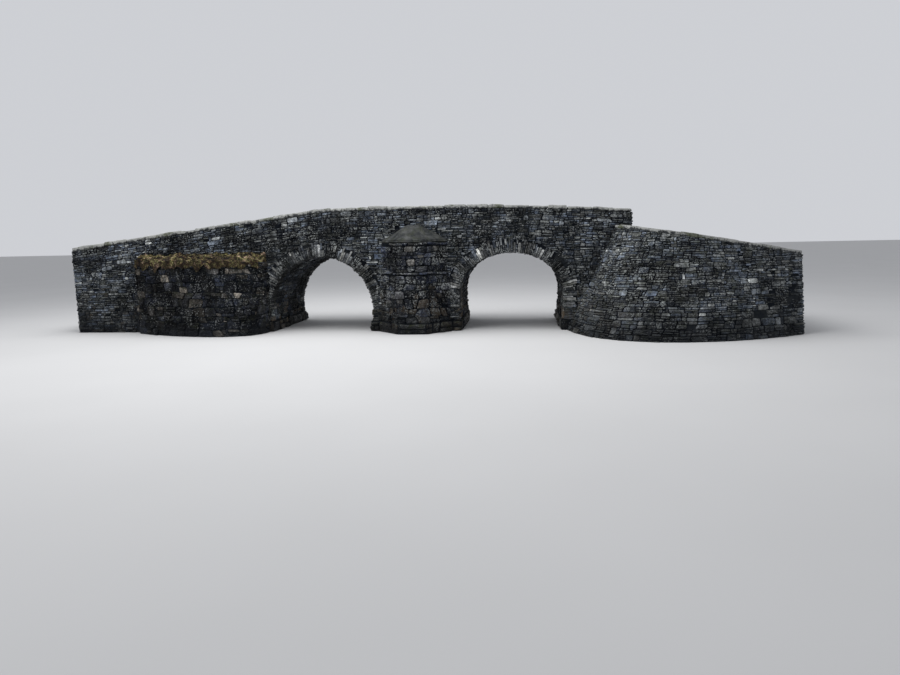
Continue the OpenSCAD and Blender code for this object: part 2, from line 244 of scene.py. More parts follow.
# Plans of the two wings, in the part's stations
WING_BEND_X = RIGHT_JAMB + (RIGHT_END - RIGHT_JAMB) * WING_BEND
WING_FOOT = bent([
    (RIGHT_JAMB + WING_FOOT_START, -FACE),
    (RIGHT_JAMB + WING_FOOT_TURN, -FACE - WING_FOOT_OUT),
    (WING_BEND_X, -FACE - WING_FOOT_OUT),
    (RIGHT_END, -FACE - WING_END_OUT),
])
WING_TOP = bent([
    (PARAPET_END - WALL, -FACE),
    (PARAPET_END - WALL + WING_TOP_TURN, -FACE - WING_TOP_OUT),
    (WING_BEND_X, -FACE - WING_TOP_OUT),
    (RIGHT_END, -FACE - WING_END_OUT + WING_END_BATTER),
])
WING_INNER = []
for i, corner in enumerate(WING_TOP):
    turn = math.pi / 2 * i / WING_STATIONS
    WING_INNER.append(corner + WALL * Vector((math.cos(turn), math.sin(turn))))
LEFT_WING_X = LEFT_JAMB - LEFT_WING_GAP
LEFT_WING_FAR = LEFT_WING_X - LEFT_WING_LENGTH
LEFT_FOOT_ENDS = [
    (LEFT_WING_X, -FACE - LEFT_WING_END),
    (LEFT_WING_X - LEFT_WING_TURN, -FACE - LEFT_WING_OUT),
    (LEFT_WING_X - LEFT_WING_LENGTH * LEFT_WING_BEND, -FACE - LEFT_WING_OUT),
    (LEFT_WING_FAR, -FACE - LEFT_WING_END),
]
LEFT_BATTERS = [LEFT_END_BATTER, LEFT_WING_BATTER, LEFT_WING_BATTER, LEFT_END_BATTER]
LEFT_TOP_ENDS = [(x, y + batter) for (x, y), batter in zip(LEFT_FOOT_ENDS, LEFT_BATTERS)]
LEFT_WING_FOOT = bent(LEFT_FOOT_ENDS)
LEFT_WING_TOP = bent(LEFT_TOP_ENDS)


class Style(NamedTuple):
    """How one kind of walling is laid, in metres: how high its courses and how long its stones
    are, the odds that a course is one, two or three stones high, how wide the joints are, how
    far stones stand proud, how much beds wave and upright joints slant, the share of stones
    that is lost, how deep stones are bedded, and how wide their edges are worn."""

    course: tuple
    length: tuple
    thin: tuple
    joint: tuple = (0.005, 0.016)
    proud: tuple = (0.010, 0.040)
    wave: float = 0.040
    slant: float = 0.028
    lost: float = 0.006
    bury: float = 0.014
    worn: tuple = (0.005, 0.013)


SLATE_WALLING = Style((0.10, 0.18), (0.12, 0.44), (1, 4, 5))
LOW_WALLING = Style((0.12, 0.23), (0.15, 0.50), (3, 5, 4), joint=(0.006, 0.020),
                    proud=(0.012, 0.050), slant=0.035)
PIER_WALLING = Style((0.16, 0.31), (0.14, 0.52), (7, 4, 1), joint=(0.003, 0.015),
                      proud=(0.012, 0.055), wave=0.08, slant=0.06)
LINING = Style((0.09, 0.17), (0.24, 0.62), (6, 3, 0), joint=(0.008, 0.018),
               proud=(0.008, 0.030), wave=0.015)
FOOT_BLOCKS = Style((0.30, 0.34), (0.24, 0.92), (9, 2, 0), joint=(0.012, 0.045),
                    proud=(0.015, 0.070), wave=0.0, slant=0.07, lost=0.0, worn=(0.02, 0.06))
LEDGE_SLABS = Style((0.05, 0.07), (0.15, 0.50), (1, 0, 0), joint=(0.006, 0.025),
                    proud=(0.040, 0.085), wave=0.0, slant=0.03, lost=0.1)

# Slates of the rings: how thick they are, how far they hang into the arch and past the ring's
# back, how many are broken in two and where, how they stand, and how they darken towards the
# arch's inside, as painted shade of the opening and as damp
CLEAVED = (0.042, 0.098)
RING_HANG = (-0.06, -0.02)
RING_RAGGED = (-0.15, 0.04)
RING_BROKEN = 0.25
RING_BREAK = (0.16, 0.3)
RING_PROUD = (0.006, 0.045)
RING_BURY = 0.43
RING_JOINT = (0.003, 0.012)
RING_WORN = (0.005, 0.013)
DARKEST_INNER, INNER_DARK_FROM, INNER_DARK_REACH = 0.25, 0.02, 0.16

# Single stones: areas of their faces, lengths, how their corners are broken and their sides
# bow, and rings of corners up their fronts, each with its height, roughness and a share that
# is low on the sides, where the finishes paint shade into the joints and keep off lichen
SMALLEST_STONE, LARGE_STONE = 0.0011, 0.026
LONG_SIDE, THIN_STONE = 0.14, 0.07
BROKEN_CORNER, DRAWN_CORNER, BOW = (0.04, 0.34), (0.92, 1.0), (0.88, 1.03)
STONE_FOOT, STONE_EDGE = (0, 0, 0.0), (0.62, 0.06, 0.25)
STONE_FACE, STONE_BROW = (1, 0.2, 1.0), (1.15, 0.35, 1.0)
MOST_WORN, BROW_INSET = 0.4, (0.5, 0.66)
LEAN_ALONG, LEAN_UP = 0.4, 0.5
PEAK_STRAY, PEAK = 0.2, (1.0, 1.3)

# Thin stones in a course: how they share its height, tilt, break and lean at the break
THIN_SHARE, THIN_TILT = (0.6, 1.4), 0.22
NEAR_MIDDLE, BREAK_LEAN = (0.3, 0.7), 0.04

# Courses: the cutwaters' ledge and its bed, corner stones, the wing's larger low courses, laps
# over what bounds a face, waves to a metre of length, and how uneven ledge and foot lie
LEDGE_Z, LEDGE_JOINT = 0.10, 0.025
QUOIN, QUOIN_REACH = 0.30, (0.09, 0.26)
LOW_COURSES = 0.75
OVERLAP, RING_LAP, NEAR_RING = 0.02, 0.03, 0.6
WAVES, UNEVEN = 1.9, 0.06
SLOPE_STEP = 0.02
ABOVE, BELOW = 1, -1

# Slabs: how round their edges and how uneven their faces are, how wide their squares are,
# and how much their gaps, overhangs, thicknesses and tips vary
COPING_WEAR, KERB_WEAR = (0.026, 0.022), (0.016, 0.011)
SLAB_SQUARE, KERB_SLAB = 0.11, 0.62
COPING_GAPS, COPING_OVER = (0.7, 2.4), (-0.02, 0.02)
COPING_TALL, KERB_TALL, WING_TALL = (-0.025, 0.02), (-0.01, 0.015), (-0.01, 0.02)
COPING_TIP = (-0.012, 0.012)

# Caps, roads and the left wing's capping. Lumps are given to a metre, with a seed and a height
CAP_ARRIS, CAP_FACET, CAP_WELD = 0.03, 0.09, 0.0005
CAP_LUMPS = ((2.6, 0.022), (9, 0.007))
ROAD_DEPTH, CAMBER = 0.08, 0.02
WHEEL_TRACK, TRACK_DEPTH, TRACK_WIDTH = 0.55, 0.014, 0.17
ROAD_LUMPS = ((1.3, 3.0, 0.012), (6, 8.0, 0.006))
CAPPING_LUMPS = ((2.3, 1.0, 0.10), (8, 5.0, 0.055), (21, 9.0, 0.03))
RAGGED_EDGE, FRINGE = 0.08, 0.03
LEAST_HANG, HANG, HANG_FRINGE, HANG_OUT = 0.05, 0.22, 0.05, 0.14
ROAD_CELLS, APRON_CELLS, CAPPING_CELLS = (170, 20), (46, 36), (150, 30)
SHARP = math.radians(55)


def divide(span, sizes, rng):
    """Divides a span into pieces of random sizes that fill it exactly."""
    ends = [0.0]
    length = span[1] - span[0]
    while ends[-1] < length:
        ends.append(ends[-1] + rng.uniform(*sizes))
    if len(ends) > 2 and ends[-1] - length > length - ends[-2]:
        ends.pop()
    return [span[0] + end * length / ends[-1] for end in ends]


def area(outline):
    return abs(sum(a.x * b.y - b.x * a.y for a, b in loop(outline))) / 2


def stand(title, data):
    """Puts an object in the scene."""
    made = bpy.data.objects.new(title, data)
    bpy.context.scene.collection.objects.link(made)
    return made


def hand_over(title, mesh, finish, replaced, smooth):
    """Finishes a mesh, and gives it to the frame as a piece."""
    mesh.materials.append(finish)
    mesh.polygons.foreach_set("use_smooth", [smooth] * len(mesh.polygons))
    piece = stand(title, mesh)
    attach(piece, "root")
    if replaced:
        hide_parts(*replaced)
    return piece


class Masonry:
    """Stones gathered into one mesh. Each is a closed solid with its own shade."""

    def __init__(self, title):
        self.title = title
        self.rng = random.Random(title)
        self.points = []
        self.faces = []
        self.shades = []

    def random_shade(self):
        return tuple(self.rng.random() for _ in range(3))

    def point(self, place, shade, worn):
        # worn is the share that the finishes paint shade and highlight with, low on a stone's sides
        self.points.append(place)
        self.shades.append((*shade, worn))
        return len(self.points) - 1

    def join(self, low, high):
        for (a, b), (c, d) in zip(loop(low), loop(high)):
            self.faces.append((a, b, d, c))

    def stone(self, outline, place, proud, bury, edge, shaded=None, fold=None):
        """A rough stone that stands proud of a face, with worn edges and a hewn front.

        edge is the range of how wide its edges are worn. shaded(spot) may darken it by
        its place in the face, from 1 down to 0. At a fold it turns the face's corner."""
        if len(outline) < 3 or area(outline) < SMALLEST_STONE:
            return
        rng = self.rng
        centre = middle_of(outline)
        if fold is not None:
            outline = folded(outline, fold)
            centre.x = fold
        half = Vector((
            max(abs(p.x - centre.x) for p in outline),
            max(abs(p.y - centre.y) for p in outline),
        ))
        worn = min(rng.uniform(*edge), MOST_WORN * min(half))
        lean = Vector([rng.uniform(-most, most) / reach
                       for most, reach in zip((LEAN_ALONG, LEAN_UP), half)])
        shade = self.random_shade()

        def shade_at(spot):
            dim = shaded(spot) if shaded else 1.0
            return shade[0], shade[1] * dim, shade[2]

        def ring(shrink, height, rough, paint):
            corners = []
            for p in outline:
                offset = (p - centre) * shrink
                rise = proud * height * (1 + lean.dot(offset) + rng.uniform(-rough, rough))
                spot = centre + offset
                spot_3d = place(spot.x, spot.y, rise if height else -bury)
                corners.append(self.point(spot_3d, shade_at(spot), paint))
            return corners

        whole = Vector((1, 1))
        inset = Vector((1 - worn / half.x, 1 - worn / half.y))
        rings = [ring(whole, *STONE_FOOT), ring(whole, *STONE_EDGE), ring(inset, *STONE_FACE)]
        if area(outline) > LARGE_STONE:
            rings.append(ring(inset * rng.uniform(*BROW_INSET), *STONE_BROW))
        for low, high in pairwise(rings):
            self.join(low, high)
        self.faces.append(tuple(reversed(rings[0])))
        shift = Vector([rng.uniform(-PEAK_STRAY, PEAK_STRAY) * reach for reach in half])
        if fold is not None:
            shift.x = 0
        spot = centre + shift
        top = place(spot.x, spot.y, proud * rng.uniform(*PEAK))
        peak = self.point(top, shade_at(spot), 1.0)
        for a, b in loop(rings[-1]):
            self.faces.append((a, b, peak))

    def slab(self, place, size, edge, lump):
        """A slab with rounded edges and an uneven surface, laid by place(along, across, up)."""
        shade = self.random_shade()
        grids = []
        for length in size:
            middle = max(1, round((length - 2 * edge) / SLAB_SQUARE))
            run = [edge + (length - 2 * edge) * i / middle for i in range(middle + 1)]
            grids.append([0.0] + run + [length])
        counts = [len(grid) - 1 for grid in grids]
        seed = Vector([self.rng.uniform(0, 50) for _ in range(3)])
        index = {}

        def corner(*cell):
            if cell not in index:
                p = Vector([grid[i] for grid, i in zip(grids, cell)])
                core = Vector([min(max(c, edge), s - edge) for c, s in zip(p, size)])
                out = p - core
                p = core + (out.normalized() * edge if out.length > 0 else out)
                p += lump * noise.noise_vector(p * 5 + seed)
                p += lump * 0.5 * noise.noise_vector(p * 13 + seed)
                # The share of the slab's height, which the coping finish paints as highlight and
                # shadow
                height = min(max(p.z / size[2], 0.0), 1.0)
                index[cell] = self.point(place(*p), shade, height)
            return index[cell]

        for axis in range(3):
            a, b = (axis + 1) % 3, (axis + 2) % 3
            for end in (0, counts[axis]):
                for i in range(counts[a]):
                    for j in range(counts[b]):
                        square = []
                        for di, dj in ((0, 0), (1, 0), (1, 1), (0, 1)):
                            cell = [0, 0, 0]
                            cell[axis], cell[a], cell[b] = end, i + di, j + dj
                            square.append(corner(*cell))
                        self.faces.append(tuple(square))

    def build(self, finish, replaced=(), smooth=False):
        """Makes one mesh of the stones, and hands it over."""
        mesh = bpy.data.meshes.new(self.title)
        mesh.from_pydata(self.points, [], self.faces)
        shades = mesh.attributes.new("shade", "FLOAT_COLOR", "POINT")
        shades.data.foreach_set("color", [value for shade in self.shades for value in shade])
        work = bmesh.new()
        work.from_mesh(mesh)
        bmesh.ops.recalc_face_normals(work, faces=work.faces)
        work.to_mesh(mesh)
        work.free()
        return hand_over(self.title, mesh, finish, replaced, smooth)


def cut(outline, point, keep):
    """What is left of an outline on the side of a line that keep points to."""
    left = []
    for a, b in loop(outline):
        gap_a, gap_b = (a - point).dot(keep), (b - point).dot(keep)
        if gap_a >= 0:
            left.append(a)
        if gap_a * gap_b < 0:
            left.append(a.lerp(b, gap_a / (gap_a - gap_b)))
    return left


def middle_of(outline):
    return sum(outline, Vector((0, 0))) / len(outline)


def folded(outline, along):
    """The same outline, with corners added where it crosses a fold of its face."""
    corners = []
    for a, b in loop(outline):
        corners.append(a)
        if (a.x - along) * (b.x - along) < 0:
            corners.append(a.lerp(b, (along - a.x) / (b.x - a.x)))
    return corners


def trimmed(height, keep):
    """Cuts stones to a line that height(along) gives, and keeps what is ABOVE or BELOW it."""
    def trim(outline):
        x = middle_of(outline).x
        slope = (height(x + SLOPE_STEP) - height(x - SLOPE_STEP)) / (2 * SLOPE_STEP)
        return cut(outline, Vector((x, height(x))), Vector((-slope, 1)) * keep)
    return trim


def clear_of(arch):
    """Cuts stones to the back of an arch's ring."""
    def trim(outline):
        middle = middle_of(outline)
        if abs(middle.x - arch.middle) > arch.half + RING_DEPTH + NEAR_RING:
            return outline
        place, side = arch.back.nearest(middle)
        return cut(outline, place - side * RING_LAP, side)
    return trim


def beside(point, keep):
    """Cuts stones to a straight line, and keeps what is on one side of it."""
    def trim(outline):
        return cut(outline, Vector(point), Vector(keep))
    return trim


def hidden_in(x0, x1, z1):
    """Leaves out stones that lie wholly inside another body."""
    def trim(outline):
        inside = all(x0 < p.x < x1 and p.y < z1 for p in outline)
        return [] if inside else outline
    return trim


def rough_outline(corners, joint, rng):
    """A stone's outline within four corners, less the joint, with its corners broken off."""
    centre = middle_of(corners)
    width = (corners[1] - corners[0]).length
    height = (corners[3] - corners[0]).length
    gap = rng.uniform(*joint)
    shrink = Vector((max(1 - gap / width, 0.4), max(1 - gap / height, 0.4)))
    short = min(width, height)
    outline = []
    for before, (corner, after) in zip(corners[-1:] + corners[:-1], loop(corners)):
        for other in (before, after) if short > THIN_STONE else (after,):
            step = (other - corner).normalized() * rng.uniform(*BROKEN_CORNER) * short
            offset = (corner + step - centre) * shrink * rng.uniform(*DRAWN_CORNER)
            outline.append(centre + offset)
        bows = int((after - corner).length / LONG_SIDE)
        for turn in range(bows):
            share = (turn + rng.uniform(*NEAR_MIDDLE)) / bows
            bow = corner.lerp(after, share) - centre
            outline.append(centre + bow * shrink * rng.uniform(*BOW))
    return outline


def thin_stones(cell, style, rng, whole=False):
    """Divides a course's height into one to three thin stones, with their joints broken."""
    low_left, low_right, high_right, high_left = cell
    count = rng.choices((1, 2, 3), style.thin)[0]
    sizes = [size / count for size in THIN_SHARE]
    shares = divide((0, 1), sizes, rng) if count > 1 else (0, 1)
    tilts = [0] + [rng.uniform(-THIN_TILT, THIN_TILT) / count for _ in shares[1:-1]] + [0]
    for (low, low_tilt), (high, high_tilt) in pairwise(zip(shares, tilts)):
        broken = rng.random() < 0.3 * count - 0.2 and not whole
        ends = (0, rng.uniform(*NEAR_MIDDLE), 1) if broken else (0, 1)
        for a, b in pairwise(ends):
            lean = rng.uniform(-BREAK_LEAN, BREAK_LEAN) if broken else 0
            spots = (
                (a, low + low_tilt * (a - 0.5)),
                (b - lean * (b < 1), low + low_tilt * (b - 0.5)),
                (b + lean * (b < 1), high + high_tilt * (b - 0.5)),
                (a, high + high_tilt * (a - 0.5)),
            )
            yield [
                low_left.lerp(low_right, x).lerp(high_left.lerp(high_right, x), z)
                for x, z in spots
            ]


def lay(stones, place, along, up, style, trims=(), breaks=(), folds=()):
    """Lays random courses over a face, between two values of along and of up.

    Joints run straight up at breaks. At folds, quoins turn the corner."""
    rng = stones.rng
    beds = divide(up, style.course, rng)
    seed = rng.uniform(0, 90)

    def bed(k, u):
        wave = style.wave if 0 < k < len(beds) - 1 else 0
        return Vector((u, beds[k] + wave * noise.noise((u * WAVES, k * 4.3, seed))))

    stops = [along[0], *breaks, along[1]]
    for k in range(len(beds) - 1):
        for start, end in pairwise(stops):
            ends = [start]
            for fold in folds:
                quoin = [fold - rng.uniform(*QUOIN_REACH), fold + rng.uniform(*QUOIN_REACH)]
                ends += divide((ends[-1], quoin[0]), style.length, rng)[1:] + quoin[1:]
            ends += divide((ends[-1], end), style.length, rng)[1:]
            leans = [rng.uniform(-style.slant, style.slant) for _ in ends]
            leans[0] = leans[-1] = 0
            for (u0, lean0), (u1, lean1) in pairwise(zip(ends, leans)):
                cell = [bed(k, u0 - lean0), bed(k, u1 - lean1),
                        bed(k + 1, u1 + lean1), bed(k + 1, u0 + lean0)]
                turned = [fold for fold in folds if u0 < fold < u1]
                fold = turned[0] if turned else None
                for corners in thin_stones(cell, style, rng, bool(turned)):
                    outline = rough_outline(corners, style.joint, rng)
                    for trim in trims:
                        if len(outline) > 2:
                            outline = trim(outline)
                    if rng.random() > style.lost:
                        proud = rng.uniform(*style.proud)
                        stones.stone(outline, place, proud, style.bury, style.worn, fold=fold)


# Faces on which stones are laid. Each takes a place along, a height and how far proud
def long_wall(side, thick=0, base=lambda x: 0):
    """The bridge's front (-1) or back (1) face above a base, or the inner face of a thick wall."""
    turn = -1 if thick else 1
    return lambda u, v, w: Vector((u, side * (FACE - thick + turn * w), base(u) + v))


def cross_wall(x, side):
    """A face across the bridge that looks to the left (-1) or to the right (1)."""
    return lambda u, v, w: Vector((x + side * w, u, v))


def ring_face(arch, side):
    """The face of an arch's ring, from the arch's edge outwards."""
    def place(u, v, w):
        spot = arch.soffit.at(u, v)
        return Vector((spot.x, side * (FACE + w), spot.y))
    return place


def vault(arch):
    """The inside of an arch, laid across the bridge and up over the crown."""
    def place(u, v, w):
        spot = arch.soffit.at(v, -w)
        return Vector((spot.x, u, spot.y))
    return place


def round_plan(plan, side=-1):
    """A face that follows a plan drawn in front of the bridge, or mirrored behind it."""
    def place(u, v, w):
        spot = plan.at(u, w)
        return Vector((spot.x, -side * spot.y, v))
    return place


def uneven(face):
    """The same face, with its courses out of level above the ground."""
    def place(u, v, w):
        wave = UNEVEN * min(v / FOOT_Z, 1) * noise.noise((u * WAVES, 5, 2))
        return face(u, v + wave, w)
    return place


def battered(foot, top, heights):
    """A face that leans from a foot plan to a top plan, its height and its middle's length."""
    plan = Path([(a + b) / 2 for a, b in zip(foot, top)])

    def height_at(u):
        i, share = plan.station(u)
        return heights[i] + (heights[i + 1] - heights[i]) * share

    def place(u, v, w):
        i, share = plan.station(u)
        low, high = between(foot, i, share), between(top, i, share)
        spot = low.lerp(high, v / height_at(u)) + between(plan.facings, i, share) * w
        return Vector((spot.x, spot.y, v))

    return place, height_at, plan.length


class Wire:
    """An output of a shader node. Operators on it add Math nodes."""

    def __init__(self, tree, socket=None):
        self.tree = tree
        self.socket = socket

    def node(self, kind, settings=None, sockets=None, out=0):
        """Adds a node, from its type, its settings, and its sockets' values or wires."""
        made = self.tree.nodes.new("ShaderNode" + kind)
        for name, value in (settings or {}).items():
            if name == "stops":
                set_stops(made.color_ramp, value)
            else:
                setattr(made, name, value)
        for name, value in (sockets or {}).items():
            if isinstance(value, Wire):
                self.tree.links.new(value.socket, made.inputs[name])
            else:
                made.inputs[name].default_value = value
        return Wire(self.tree, made.outputs[out] if made.outputs else None)

    def math(self, operation, *values):
        return self.node("Math", {"operation": operation}, dict(enumerate((self, *values))))

    def __add__(self, other):
        return self.math("ADD", other)

    def __sub__(self, other):
        return self.math("SUBTRACT", other)

    def __rsub__(self, other):
        return self.node("Math", {"operation": "SUBTRACT"}, {0: other, 1: self})

    def __mul__(self, other):
        return self.math("MULTIPLY", other)

    __radd__ = __add__
    __rmul__ = __mul__

    def rise(self, low, high):
        """0 below low, 1 above high and a smooth rise between, or a fall if low is above high."""
        settings = {"interpolation_type": "SMOOTHSTEP"}
        return self.node("MapRange", settings, {"Value": self, 1: low, 2: high})

    def tint(self, under_colour, over_colour):
        """The first colour where this is 0, and the second where it is 1."""
        sockets = {0: self, 6: under_colour, 7: (*over_colour, 1)}
        return self.node("Mix", {"data_type": "RGBA"}, sockets, 2)

    def ramp(self, stops):
        return self.node("ValToRGB", {"stops": stops}, {"Fac": self})

    def noise(self, scale, detail, roughness):
        sockets = {"Vector": self, "Scale": scale, "Detail": detail, "Roughness": roughness}
        return self.node("TexNoise", {}, sockets)

    def stretched(self, x, y, z):
        return self.node("Mapping", {}, {"Vector": self, "Scale": (x, y, z)})


def set_stops(ramp, stops):
    while len(ramp.elements) < len(stops):
        ramp.elements.new(0.5)
    for element, (position, colour) in zip(ramp.elements, stops):
        element.position = position
        element.color = (*colour, 1)


class Finish:
    """A material in the making, with the wires that every finish here uses."""

    def __init__(self, title):
        self.material = bpy.data.materials.new(title)
        self.material.use_nodes = True
        self.material.node_tree.nodes.clear()
        self.start = Wire(self.material.node_tree)
        self.place = self.start.node("TexCoord", out="Object")
        self.right, self.across, self.up = (self.part_of(self.place, axis) for axis in "XYZ")
        self.flat = self.part_of(self.start.node("NewGeometry", out="Normal"), "Z")
        shade = self.start.node("Attribute", {"attribute_name": "shade"}, out="Color")
        self.tone, self.depth, self.age = (
            self.start.node("SeparateColor", {}, {0: shade}, hue)
            for hue in ("Red", "Green", "Blue")
        )
        # Shade alpha: low on stone sides, high on faces, or a slab's height share; used for painted
        # shade
        self.worn = self.start.node("Attribute", {"attribute_name": "shade"}, out="Alpha")

    def part_of(self, vector, axis):
        return self.start.node("SeparateXYZ", {}, {0: vector}, axis)

    def shaded(self, colour, value, saturation=1.0):
        sockets = {"Saturation": saturation, "Value": value, "Color": colour}
        return self.start.node("HueSaturation", {}, sockets)

    def close(self, colour, roughness, height, bump, distance):
        """Ends the material: a dull surface with relief up to a distance."""
        sockets = {"Strength": bump, "Distance": distance, "Height": height}
        normal = self.start.node("Bump", {}, sockets)
        shader = self.start.node("BsdfPrincipled", {}, {
            "Base Color": colour,
            "Roughness": roughness,
            "Normal": normal,
            "Specular IOR Level": DULL,
        })
        self.start.node("OutputMaterial", {}, {"Surface": shader})
        return self.material


# How strongly surfaces shine, the contrast of the stones' colours, and the value it leaves
DULL = 0.1
CONTRAST = 1.35
MID_STONE = 0.045

# Growths and stains of the stones, and a painted highlight on their upward faces
BLUE_BLOTCH = (0.056, 0.061, 0.065)
BROWN_STAIN = (0.062, 0.055, 0.042)
OCHRE = (0.115, 0.088, 0.058)
OLIVE = (0.062, 0.056, 0.036)
UPWARD_HIGHLIGHT = (0.13, 0.135, 0.13)
MOSS = (0.04, 0.046, 0.018)
LICHEN = (0.30, 0.315, 0.31)
DAMP = (0.004, 0.0055, 0.008)

# Where they come in, from none to all, in metres up the bridge or along it
DRY_UP = (1.4, 2.0)
OCHRE_UP, OCHRE_ALONG, RUST_ALONG = (1.4, 0.6), (7.5, 4.0), (-1.3, 1.3)
OLIVE_UP, OLIVE_FROM, OLIVE_TO = (1.9, 1.0), (-0.75, -1.2), (-2.0, -1.6)
DAMP_FOOT = 0.06


def rubble_finish(title, stones, lichen, dim, moss=0.3, ochre=0.0, brown=0.0, wet=0.46, dry=0.0):
    """Weathered stones, each with a shade of its own from the ramp stones, dimmed to dim.

    lichen, moss, ochre and brown say how strong each growth or stain is, wet how high damp
    rises, and dry how much paler stones are above the cutwaters' ledge."""
    finish = Finish(title)
    place = finish.place
    colour = finish.tone.ramp(stones)
    grain = place.noise(40, 4, 0.7)
    mottle = place.noise(12, 5, 0.75)
    blotch = place.noise(5.5, 4, 0.65)
    clouds = place.noise(1.3, 4, 0.55)
    streaks = place.stretched(5, 5, 0.7).noise(1.0, 3, 0.6).rise(0.48, 0.62)
    colour = (blotch.rise(0.48, 0.62) * 0.35).tint(colour, BLUE_BLOTCH)
    value = 0.55 + finish.depth * finish.depth * 1.65
    # Stones darken down their sides into the joints as painted shade. The streaks are damp stains
    value = value * (0.78 + 0.22 * finish.worn) * (1.0 - streaks * 0.3)
    value = value * (0.6 + 0.725 * mottle.rise(0.4, 0.62))
    value = value * (0.7 + 0.6 * grain.rise(0.38, 0.62)) * (0.34 + 1.3 * clouds.rise(0.38, 0.64))
    colour = finish.shaded(colour, value * (1.0 + dry * finish.up.rise(*DRY_UP)))
    if brown:
        stain = (clouds + blotch * 0.5 + finish.age * 0.1).rise(0.84, 0.98)
        colour = (stain * brown).tint(colour, BROWN_STAIN)
    if ochre:
        rusty = finish.age * 0.5 + blotch * 1.2 + finish.right.rise(*RUST_ALONG) * 0.15
        rusty = rusty.rise(0.94, 1.14)
        low = (finish.up - (clouds - 0.5) * 3.0).rise(*OCHRE_UP)
        low = low * finish.right.rise(*OCHRE_ALONG)
        colour = (low * rusty * ochre * 0.9).tint(colour, OCHRE)
        pier_edge = (finish.right + (blotch - 0.5) * 1.5).rise(*OLIVE_FROM)
        pier_edge = pier_edge * finish.right.rise(*OLIVE_TO) * finish.up.rise(*OLIVE_UP)
        colour = (pier_edge * mottle.rise(0.42, 0.56) * 0.6).tint(colour, OLIVE)
    ledge = finish.flat.rise(0.15, 0.7)
    # Upward faces painted paler, as a highlight from the light above
    colour = (ledge * grain.rise(0.42, 0.55) * 0.6).tint(colour, UPWARD_HIGHLIGHT)
    green = (ledge + clouds.rise(0.5, 0.65) * 0.4) * blotch.rise(0.46, 0.6) * moss
    colour = green.tint(colour, MOSS)
    least = 0.04 * (1 - lichen)
    gathered = place.noise(2.4, 3, 0.6).rise(0.45, 0.58)
    specks = (place.noise(25, 3, 0.6) + gathered * 0.04).rise(0.575 + least, 0.615 + least)
    patches = (place.noise(9, 4, 0.7) + gathered * 0.03).rise(0.58 + least, 0.62 + least)
    patches = patches * grain.rise(0.44, 0.52)
    crust = (specks + patches - specks * patches) * finish.worn * (0.3 + 0.7 * gathered)
    colour = finish.start.node("Gamma", {}, {"Color": colour, "Gamma": CONTRAST})
    colour = finish.shaded(colour, dim * MID_STONE ** (1 - CONTRAST), 0.85)
    colour = (crust * (0.55 + 0.3 * lichen)).tint(colour, LICHEN)
    damp = (finish.up + (blotch - 0.5) * 0.8).rise(wet, DAMP_FOOT)
    colour = (damp * 0.7).tint(colour, DAMP)
    roughness = 0.88 - damp * 0.5 + (grain - 0.5) * 0.2
    beds = place.stretched(9, 9, 70).noise(1.0, 3, 0.6)
    height = grain * 0.5 + beds * 0.6 + mottle * 1.0
    return finish.close(colour, roughness, height, 1.0, 0.03)


# Thin blue-grey slates of the walls and parapets
WALL_FINISH = rubble_finish("weathered slate rubble", [
    (0.0, (0.030, 0.038, 0.052)),
    (0.3, (0.050, 0.060, 0.077)),
    (0.6, (0.070, 0.080, 0.095)),
    (0.85, (0.095, 0.100, 0.103)),
    (1.0, (0.155, 0.16, 0.158)),
], lichen=0.8, dim=0.84, ochre=0.5, brown=0.2, wet=1.2)

# Larger, dark blue stones of the pier and the cutwaters
PIER_FINISH = rubble_finish("dark river stones", [
    (0.0, (0.010, 0.014, 0.026)),
    (0.35, (0.017, 0.022, 0.038)),
    (0.65, (0.034, 0.040, 0.056)),
    (0.88, (0.068, 0.070, 0.080)),
    (1.0, (0.125, 0.12, 0.112)),
], lichen=1.2, dim=0.48, ochre=1.0, brown=0.2, wet=1.5, dry=0.45)

# Stones of the left wing, darkened throughout as painted shade, with damp at their foot
WING_FINISH = rubble_finish("damp wing stones", [
    (0.0, (0.014, 0.018, 0.030)),
    (0.4, (0.026, 0.031, 0.045)),
    (0.8, (0.050, 0.051, 0.055)),
    (1.0, (0.20, 0.18, 0.155)),
], lichen=-0.1, dim=0.34, moss=0.6, brown=0.3)

# Large brown stones of the pier's and the abutments' feet
FOOT_FINISH = rubble_finish("brown foot stones", [
    (0.0, (0.020, 0.023, 0.030)),
    (0.45, (0.042, 0.042, 0.041)),
    (0.75, (0.078, 0.065, 0.048)),
    (1.0, (0.15, 0.12, 0.082)),
], lichen=0.5, dim=0.64, moss=0.8, ochre=0.4, wet=0.6)

# Buff and grey slates on edge round the arches
ARCH_FINISH = rubble_finish("buff arch slates", [
    (0.0, (0.022, 0.027, 0.036)),
    (0.3, (0.056, 0.063, 0.074)),
    (0.6, (0.130, 0.136, 0.142)),
    (0.85, (0.215, 0.218, 0.215)),
    (1.0, (0.30, 0.30, 0.285)),
], lichen=1.2, dim=0.76, brown=0.2)

# Slates along the vaults and the faces below them, dark as painted shade under the arches
LINING_FINISH = rubble_finish("vault slates", [
    (0.0, (0.010, 0.013, 0.019)),
    (0.7, (0.017, 0.021, 0.028)),
    (1.0, (0.058, 0.064, 0.064)),
], lichen=0.0, dim=1.5, moss=0.0, ochre=0.5, brown=0.2)


